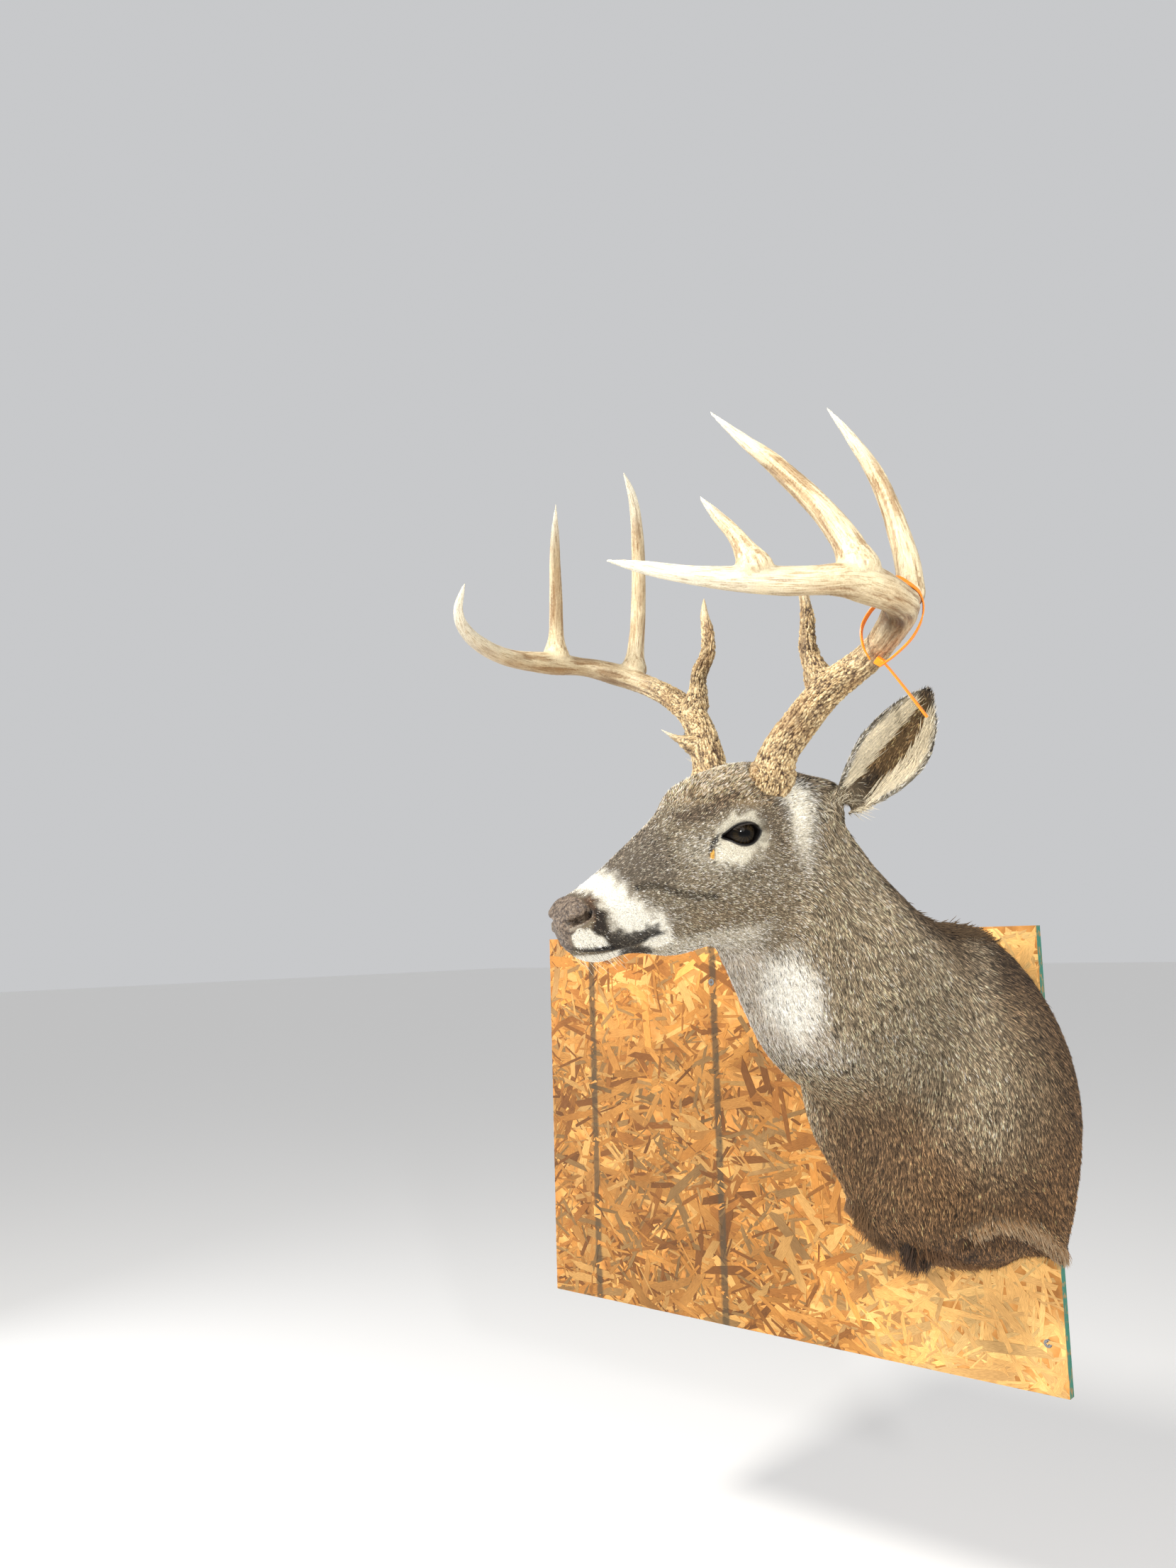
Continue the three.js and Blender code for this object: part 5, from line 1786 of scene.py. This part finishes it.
class BUCK_OT_board(bpy.types.Operator):
    """Lay the strands on both faces of the board, and finish its screws"""

    bl_idname = "buck.board"
    bl_label = "Board"

    def execute(self, context):
        settings = context.scene.buck_board
        assign(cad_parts["board"], board_material())
        assign(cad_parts["form_back"], plywood_material())
        for name in ("screw_upper", "screw_lower"):
            assign(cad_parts[name], screw_material())
        dice = np.random.default_rng(19)
        self.lay("strands_front", settings, dice, BOARD_LOW[1], -1, settings.strands)
        self.lay("strands_back", settings, dice, BOARD_HIGH[1], 1, settings.strands // 3)
        return {"FINISHED"}

    def lay(self, name, settings, dice, y, out, count):
        """Scatters strands over one face of the board, each a thin closed chip."""
        points, faces, tints, grain = [], [], [], []
        top = settings.relief / MM
        block = strand_faces()
        low = BOARD_LOW[[0, 2]] + 0.1
        high = BOARD_HIGH[[0, 2]] - 0.1
        for number in range(count):
            bold = dice.random() < 0.28
            length = dice.uniform(36, 84) if bold else dice.uniform(12, 50)
            width = dice.uniform(5, 14) if bold else dice.uniform(1.5, 6)
            outline = strand_outline(dice, length, width)
            turn = dice.normal(0, 0.6) + (math.pi / 2 if dice.random() < 0.3 else 0)
            spin = np.array([[math.cos(turn), math.sin(turn)], [-math.sin(turn), math.cos(turn)]])
            place = dice.uniform(low, high)
            flat = np.clip(outline @ spin + place, low, high)
            layer = dice.random() if bold else 0.3 + 0.7 * dice.random()
            tilt = dice.uniform(-0.3, 0.3, 2) * top / (length / 2)
            rise = np.clip(top * (0.1 + 0.8 * layer) + (flat - place) @ tilt, 0.04, top * 1.1)
            points.append(np.column_stack([flat[:, 0], np.full(6, y - out * 0.1), flat[:, 1]]))
            points.append(np.column_stack([flat[:, 0], y + out * rise, flat[:, 1]]))
            faces.append(block + number * 12)
            tint = STRAND_COLOURS[dice.integers(len(STRAND_COLOURS))]
            tint = tint * math.exp(dice.normal(0, 0.13))
            # Painted shadow: strands low on the left are darkened where the head and neck shade the board.
            tint = tint * (1 - 0.42 * smooth(180, -60, place[0]) * smooth(180, 40, place[1])) * 0.9
            # Painted light: strands towards the right of the front face are lightened towards the pale tint
            # of a painted pool of light.
            painted_light = smooth(60, 280, place[0]) * (0.42 if out < 0 else 0)
            tints.append(np.tile(between(tint, PAINTED_LIGHT, painted_light), (12, 1)))
            grain.append(np.tile(outline + dice.uniform(0, 60, 2), (2, 1)))
        item = mesh_object(name, np.concatenate(points), np.concatenate(faces), smoothed=False)
        turn_faces_out(item)
        paint(item, "Strand", np.clip(np.concatenate(tints), 0, 0.95))
        layer = item.data.uv_layers.new(name="Grain")
        loops = np.empty(len(item.data.loops), np.int32)
        item.data.loops.foreach_get("vertex_index", loops)
        layer.data.foreach_set("uv", (np.concatenate(grain)[loops] / 100).astype(np.float32).ravel())
        finish_piece(item, "strand_board", strand_material(out < 0))


def assign(item, material):
    """Gives a carried-over CAD part its finish."""
    for slot in item.material_slots:
        slot.material = material


# ---------------------------------------------------------------- shader nodes and groups
def join(tree, value, socket):
    """Links another socket to this one, or sets this one to a plain value."""
    if isinstance(value, bpy.types.NodeSocket):
        tree.links.new(value, socket)
    elif np.ndim(value) == 0:
        socket.default_value = float(value)
    else:
        parts = [float(part) for part in value]
        socket.default_value = (*parts, 1) if socket.type == "RGBA" else parts


def node(tree, kind, inputs=None, **settings):
    """Adds a shader node; its inputs are sockets to link or plain values."""
    made = tree.nodes.new(f"ShaderNode{kind}")
    for name, value in settings.items():
        setattr(made, name, value)
    for socket, value in (inputs or {}).items():
        join(tree, value, made.inputs[socket])
    return made


def maths(tree, operation, *values):
    return node(tree, "Math", dict(enumerate(values)), operation=operation).outputs[0]


def map_range(tree, value, low, high, start=0.0, end=1.0):
    inputs = {"Value": value, "From Min": low, "From Max": high, "To Min": start, "To Max": end}
    return node(tree, "MapRange", inputs).outputs[0]


def mix(tree, a, b, share, kind="MIX"):
    """Mixes two colours; each input is a socket or a plain colour."""
    return node(tree, "Mix", {0: share, 6: a, 7: b}, data_type="RGBA", blend_type=kind,
                clamp_factor=True).outputs[2]


def ramp(tree, value, *stops):
    """A smooth ramp of grey values or colours at places from 0 to 1."""
    made = node(tree, "ValToRGB", {0: value})
    elements = made.color_ramp.elements
    for number, (place, tint) in enumerate(stops):
        element = elements[number] if number < 2 else elements.new(place)
        element.position = place
        element.color = (*np.broadcast_to(np.asarray(tint, float), 3), 1)
    return made.outputs[0]


def cloud(tree, coordinates, scale, detail=3.0, rough=0.55):
    inputs = {"Vector": coordinates, "Scale": scale, "Detail": detail, "Roughness": rough}
    return node(tree, "TexNoise", inputs).outputs[0]


def stretched(tree, coordinates, x, y, z):
    return node(tree, "Mapping", {"Vector": coordinates, "Scale": (x, y, z)}).outputs[0]


def attribute(tree, name, kind="Color"):
    """A colour, vector or number stored on the mesh's points."""
    return node(tree, "Attribute", attribute_name=name).outputs[kind]


def object_place(tree):
    return node(tree, "TexCoord").outputs["Object"]


def new_group(name, inputs, outputs):
    """A shader node group with its own named sockets: (name, kind, default)."""
    group = bpy.data.node_groups.new(name, "ShaderNodeTree")
    for label, kind, value in inputs:
        socket = group.interface.new_socket(name=label, in_out="INPUT", socket_type=kind)
        socket.default_value = value
    for label, kind in outputs:
        group.interface.new_socket(name=label, in_out="OUTPUT", socket_type=kind)
    return group, group.nodes.new("NodeGroupInput").outputs, group.nodes.new("NodeGroupOutput").inputs


def remembered(make):
    """Makes a material or group once and gives the same one back afterwards."""
    kept = {}

    def get(*settings):
        if settings not in kept:
            kept[settings] = make(*settings)
        return kept[settings]

    return get


@remembered
def mottle_group():
    """Uneven tone: darkens and lightens a colour in patches of a chosen size."""
    group, given, made = new_group(
        "Mottle",
        [("Color", "NodeSocketColor", (0.5, 0.5, 0.5, 1)), ("Scale", "NodeSocketFloat", 60.0),
         ("Amount", "NodeSocketFloat", 0.3)],
        [("Color", "NodeSocketColor"), ("Mask", "NodeSocketFloat")])
    mask = map_range(group, cloud(group, object_place(group), given["Scale"], 4, 0.5), 0.3, 0.7)
    shade = mix(group, (0.35, 0.33, 0.31), (1.35, 1.33, 1.28), mask)
    tone = mix(group, (1.0, 1.0, 1.0), shade, given["Amount"])
    join(group, mix(group, given["Color"], tone, 1.0, "MULTIPLY"), made["Color"])
    join(group, mask, made["Mask"])
    return group


@remembered
def relief_group():
    """A bump from fine noise of a chosen size."""
    group, given, made = new_group(
        "Fine Relief",
        [("Scale", "NodeSocketFloat", 400.0), ("Strength", "NodeSocketFloat", 0.3),
         ("Distance", "NodeSocketFloat", 0.0005)],
        [("Normal", "NodeSocketVector")])
    grain = cloud(group, object_place(group), given["Scale"], 5, 0.5)
    bump = node(group, "Bump", {
        "Height": grain, "Strength": given["Strength"], "Distance": given["Distance"]})
    join(group, bump.outputs[0], made["Normal"])
    return group


def mottled(tree, tint, scale, amount):
    inputs = {"Color": tint, "Scale": scale, "Amount": amount}
    return node(tree, "Group", inputs, node_tree=mottle_group()).outputs["Color"]


def new_material(name, **sockets):
    """A material with one Principled shader; its plain values go straight on the shader."""
    material = bpy.data.materials.new(name)
    material.use_nodes = True
    tree = material.node_tree
    shader = next(item for item in tree.nodes if item.type == "BSDF_PRINCIPLED")
    for label, value in sockets.items():
        shader.inputs[label.replace("_", " ")].default_value = value
    return material, tree, shader


def connect(tree, shader, **sockets):
    for label, value in sockets.items():
        join(tree, value, shader.inputs[label.replace("_", " ")])


def add_bump(tree, shader, height, strength, distance):
    bump = node(tree, "Bump", {"Height": height, "Strength": strength, "Distance": distance})
    connect(tree, shader, Normal=bump.outputs[0])


def add_relief(tree, shader, scale, strength, distance):
    inputs = {"Scale": scale, "Strength": strength, "Distance": distance}
    relief = node(tree, "Group", inputs, node_tree=relief_group())
    connect(tree, shader, Normal=relief.outputs["Normal"])


# ---------------------------------------------------------------- finishes
@remembered
def coat_material():
    material, tree, shader = new_material(
        "Deer Hair", Roughness=0.62, Specular_IOR_Level=0.22, Sheen_Weight=0.05,
        Sheen_Roughness=0.45)
    connect(tree, shader, Base_Color=mottled(tree, attribute(tree, "Coat"), 520.0, 0.5))
    return material


@remembered
def hide_material():
    """Skin under the coat, and the bare pebbled nose with its lighter patches, partly wear and partly
    painted highlight.
    """
    material, tree, shader = new_material("Deer Hide", Specular_IOR_Level=0.4)
    nose = attribute(tree, "Nose", "Fac")
    where = object_place(tree)
    # Lighter patches on the nose pad: partly wear, partly painted highlight.
    worn = ramp(tree, cloud(tree, where, 330.0), (0.38, 0.0), (0.66, 1.0))
    wear_and_highlight = maths(tree, "MULTIPLY", maths(tree, "MULTIPLY", worn, nose), 0.6)
    skin = mottled(tree, attribute(tree, "Coat"), 820.0, 0.65)
    connect(tree, shader, Base_Color=mix(tree, skin, colour(150, 131, 111), wear_and_highlight),
            Roughness=ramp(tree, attribute(tree, "Bare", "Fac"), (0.2, 0.85), (0.8, 0.46)))
    cells = node(tree, "TexVoronoi", {"Vector": where, "Scale": 700.0}, feature="SMOOTH_F1")
    pebbles = node(tree, "Mix", {
        0: nose, 2: cloud(tree, where, 900.0), 3: cells.outputs["Distance"]}, data_type="FLOAT")
    add_bump(tree, shader, pebbles.outputs[0], 0.8, 0.0013)
    return material


@remembered
def antler_material():
    material, tree, shader = new_material("Antler", Specular_IOR_Level=0.45)
    grain = attribute(tree, "Grain", "Vector")
    fibres = cloud(tree, stretched(tree, grain, 900.0, 900.0, 60.0), 1.0)
    line = ramp(tree, fibres, (0.34, (0.5, 0.4, 0.28)), (0.5, (1.0, 1.0, 1.0)))
    lined = mix(tree, attribute(tree, "Horn"), line, attribute(tree, "Lined", "Fac"), "MULTIPLY")
    toned = mottled(tree, mottled(tree, lined, 700.0, 0.22), 45.0, 0.18)
    gloss = ramp(tree, attribute(tree, "Rough", "Fac"), (0.0, 0.42), (1.0, 0.62))
    connect(tree, shader, Base_Color=toned, Roughness=gloss)
    add_bump(tree, shader, fibres, 0.6, 0.0007)
    return material


@remembered
def eye_material():
    material, tree, shader = new_material(
        "Eye Glass", Roughness=0.3, IOR=1.45, Coat_Weight=0.35, Coat_Roughness=0.01,
        Coat_IOR=1.45, Specular_IOR_Level=0.0)
    connect(tree, shader, Base_Color=mottled(tree, attribute(tree, "Iris"), 900.0, 0.3))
    return material


@remembered
def tie_material():
    material, tree, shader = new_material(
        "Orange Nylon", Roughness=0.38, Specular_IOR_Level=0.5, Subsurface_Weight=0.08,
        Subsurface_Scale=0.004)
    connect(tree, shader, Base_Color=mottled(tree, colour(255, 136, 14), 260.0, 0.12))
    add_relief(tree, shader, 900.0, 0.12, 0.0003)
    return material


@remembered
def screw_material():
    material, tree, shader = new_material("Screw Steel", Metallic=0.9)
    toned = mottled(tree, colour(138, 140, 142), 900.0, 0.4)
    gloss = ramp(tree, toned.node.outputs["Mask"], (0.0, 0.5), (1.0, 0.3))
    connect(tree, shader, Base_Color=toned, Roughness=gloss)
    return material


@remembered
def strand_material(printed):
    material, tree, shader = new_material(
        "Wood Strands Front" if printed else "Wood Strands Back", Specular_IOR_Level=0.3)
    chart = node(tree, "UVMap", uv_map="Grain").outputs[0]
    fibres = cloud(tree, stretched(tree, chart, 14.0, 190.0, 1.0), 1.0, 6.0, 0.6)
    streak = ramp(tree, fibres, (0.3, (0.66, 0.6, 0.52)), (0.62, (1.14, 1.12, 1.08)))
    where = object_place(tree)
    stain = ramp(tree, cloud(tree, where, 16.0, 4.0), (0.36, (0.8, 0.76, 0.7)),
                 (0.6, (1.05, 1.04, 1.0)))
    tint = attribute(tree, "Strand")
    for layer in (streak, stain):
        tint = mix(tree, tint, layer, 1.0, "MULTIPLY")
    specks = cloud(tree, stretched(tree, chart, 40.0, 160.0, 1.0), 1.0, 2.0)
    tint = mix(tree, tint, colour(84, 46, 18), ramp(tree, specks, (0.2, 1.0), (0.3, 0.0)))
    if printed:
        tint = add_print(tree, where, tint)
    connect(tree, shader, Base_Color=tint, Roughness=ramp(tree, fibres, (0.3, 0.75), (0.7, 0.5)))
    add_bump(tree, shader, fibres, 0.5, 0.0005)
    return material


def add_print(tree, where, tint):
    """The faint dark lines rolled on the sheet to show where studs go."""
    across = node(tree, "SeparateXYZ", {0: where}).outputs["X"]
    ragged = cloud(tree, where, 160.0, 4.0)
    for place in PRINTED_LINES:
        away = maths(tree, "ABSOLUTE", maths(tree, "SUBTRACT", across, place * MM))
        rough = maths(tree, "MULTIPLY_ADD", ragged, 4 * MM, away)
        band = map_range(tree, rough, 5.4 * MM, 8.6 * MM, 0.8, 0.0)
        tint = mix(tree, tint, colour(70, 58, 40), band)
    return tint


@remembered
def board_material():
    """The body of the sheet: layered strands at its edges, painted where the mill trimmed it."""
    material, tree, shader = new_material("Strand Board", Specular_IOR_Level=0.3, Roughness=0.75)
    where = object_place(tree)
    layers = cloud(tree, stretched(tree, where, 26.0, 900.0, 26.0), 1.0, 4.0)
    wood = ramp(tree, layers, (0.3, colour(132, 84, 38)), (0.5, colour(190, 130, 64)),
                (0.72, colour(226, 174, 104)))
    split = node(tree, "SeparateXYZ", {0: where})
    edges = [
        map_range(tree, split.outputs[axis], (limit - sign * 0.3) * MM, (limit - sign * 0.05) * MM)
        for axis, limit, sign in (("X", BOARD_HIGH[0], 1), ("Z", BOARD_LOW[2], -1))]
    patchy = ramp(tree, cloud(tree, where, 120.0, 4.0), (0.34, 0.25), (0.5, 1.0))
    share = maths(tree, "MULTIPLY", maths(tree, "MAXIMUM", *edges), patchy)
    paint_edge = bpy.context.scene.buck_board.paint_edge
    connect(tree, shader, Base_Color=mix(tree, wood, paint_edge, share))
    add_bump(tree, shader, layers, 0.7, 0.0008)
    return material


@remembered
def plywood_material():
    material, tree, shader = new_material("Form Plywood", Roughness=0.72)
    plies = cloud(tree, stretched(tree, object_place(tree), 30.0, 700.0, 9.0), 1.0, 4.0)
    wood = ramp(tree, plies, (0.3, colour(150, 112, 70)), (0.7, colour(206, 170, 120)))
    connect(tree, shader, Base_Color=wood)
    add_relief(tree, shader, 300.0, 0.3, 0.0006)
    return material


# ---------------------------------------------------------------- stage
class BUCK_PG_stage(bpy.types.PropertyGroup):
    """The floor, light and camera round the mount."""

    floor_height: bpy.props.FloatProperty(
        name="Floor height", description="Height of the studio floor", default=-0.62, unit="LENGTH")
    key_power: bpy.props.FloatProperty(
        name="Key light", description="Power of the main soft light", default=70.0, min=0)
    fill_power: bpy.props.FloatProperty(
        name="Fill light", description="Power of the soft fill light", default=14.0, min=0)
    glint_power: bpy.props.FloatProperty(
        name="Glint light", description="Power of the small light that shows in the eyes",
        default=20.0, min=0)


CAMERA_PLACE = (0.8429, -1.3174, 0.2349)
CAMERA_AHEAD = (-0.6432, 0.7550, 0.1272)
CAMERA_UP = (0.1030, -0.0793, 0.9915)
CAMERA_LENS = 28.16


# Each lamp's place, size, power setting with the share of it that is used, and tint.
LAMPS = {
    "key": ((-0.35, -2.0, 1.75), 0.45, "key_power", 1.0, (1.0, 0.97, 0.92)),
    "fill": ((-2.0, -1.0, 0.1), 1.4, "fill_power", 1.4, (0.97, 0.98, 1.0)),
    "side": ((1.9, -1.1, 1.0), 1.1, "fill_power", 0.6, (1.0, 0.98, 0.95)),
    "glint": ((1.5, -1.42, 0.54), 0.14, "glint_power", 1.0, (1, 1, 1)),
}
LAMP_TARGET = (0.2, -0.25, 0.25)


def soft_light(name, place, size, power, tint):
    light = bpy.data.lights.new(name, "AREA")
    light.shape = "DISK"
    light.size = size
    light.energy = power
    light.color = tint
    lamp = bpy.data.objects.new(name, light)
    lamp.location = place
    lamp.rotation_euler = (Vector(LAMP_TARGET) - Vector(place)).to_track_quat("-Z", "Y").to_euler()
    bpy.context.scene.collection.objects.link(lamp)


class BUCK_OT_stage(bpy.types.Operator):
    """Set the floor, the soft lights and the camera"""

    bl_idname = "buck.stage"
    bl_label = "Stage"

    def execute(self, context):
        settings = context.scene.buck_stage
        bpy.ops.mesh.primitive_plane_add(size=60, location=(0, 0, settings.floor_height))
        floor = bpy.context.object
        floor.name = "floor"
        paper, _, _ = new_material("Studio Floor", Roughness=0.9, Base_Color=(0.92, 0.91, 0.89, 1))
        floor.data.materials.append(paper)
        world = bpy.data.worlds.new("Studio")
        world.use_nodes = True
        background = world.node_tree.nodes["Background"]
        background.inputs[0].default_value = (0.93, 0.94, 0.96, 1)
        background.inputs[1].default_value = 0.62
        context.scene.world = world
        for name, (place, size, power, share, tint) in LAMPS.items():
            soft_light(name, place, size, getattr(settings, power) * share, tint)
        ahead = Vector(CAMERA_AHEAD).normalized()
        up = Vector(CAMERA_UP)
        right = ahead.cross(up).normalized()
        up = right.cross(ahead)
        turn = Matrix((right, up, -ahead)).transposed().to_4x4()
        lens = bpy.data.cameras.new("camera")
        lens.sensor_fit = "VERTICAL"
        lens.sensor_height = 36
        lens.lens = CAMERA_LENS
        camera = bpy.data.objects.new("camera", lens)
        camera.matrix_world = Matrix.Translation(CAMERA_PLACE) @ turn
        context.scene.collection.objects.link(camera)
        context.scene.camera = camera
        context.scene.view_settings.view_transform = "Standard"
        return {"FINISHED"}


# ---------------------------------------------------------------- add-on
class BUCK_PT_panel(bpy.types.Panel):
    """Lists the mount's pieces and their settings"""

    bl_idname = "BUCK_PT_panel"
    bl_label = "Whitetail Mount"
    bl_space_type = "VIEW_3D"
    bl_region_type = "UI"
    bl_category = "Buck"

    def draw(self, context):
        for group, operators in PANEL_ROWS.items():
            box = self.layout.box()
            settings = getattr(context.scene, group, None)
            if settings is not None:
                for name in settings.__annotations__:
                    box.prop(settings, name)
            for operator in operators:
                box.operator(operator.bl_idname)


GROUPS = {
    "buck_hair": BUCK_PG_hair,
    "buck_antler": BUCK_PG_antler,
    "buck_board": BUCK_PG_board,
    "buck_stage": BUCK_PG_stage,
}
PANEL_ROWS = {
    "buck_hair": (BUCK_OT_hide, BUCK_OT_coat, BUCK_OT_long_hair, BUCK_OT_eyes),
    "buck_antler": (BUCK_OT_antlers, BUCK_OT_cable_tie),
    "buck_board": (BUCK_OT_board,),
    "buck_stage": (BUCK_OT_stage,),
}
CLASSES = (*GROUPS.values(), *[item for row in PANEL_ROWS.values() for item in row], BUCK_PT_panel)


def register():
    for item in CLASSES:
        bpy.utils.register_class(item)
    for name, group in GROUPS.items():
        setattr(bpy.types.Scene, name, bpy.props.PointerProperty(type=group))


def unregister():
    for name in GROUPS:
        delattr(bpy.types.Scene, name)
    for item in reversed(CLASSES):
        bpy.utils.unregister_class(item)


def main():
    register()
    bpy.ops.buck.stage()
    bpy.ops.buck.hide()
    bpy.ops.buck.eyes()
    bpy.ops.buck.antlers()
    bpy.ops.buck.cable_tie()
    bpy.ops.buck.board()
    bpy.ops.buck.coat()
    bpy.ops.buck.long_hair()


if __name__ == "__main__":
    main()
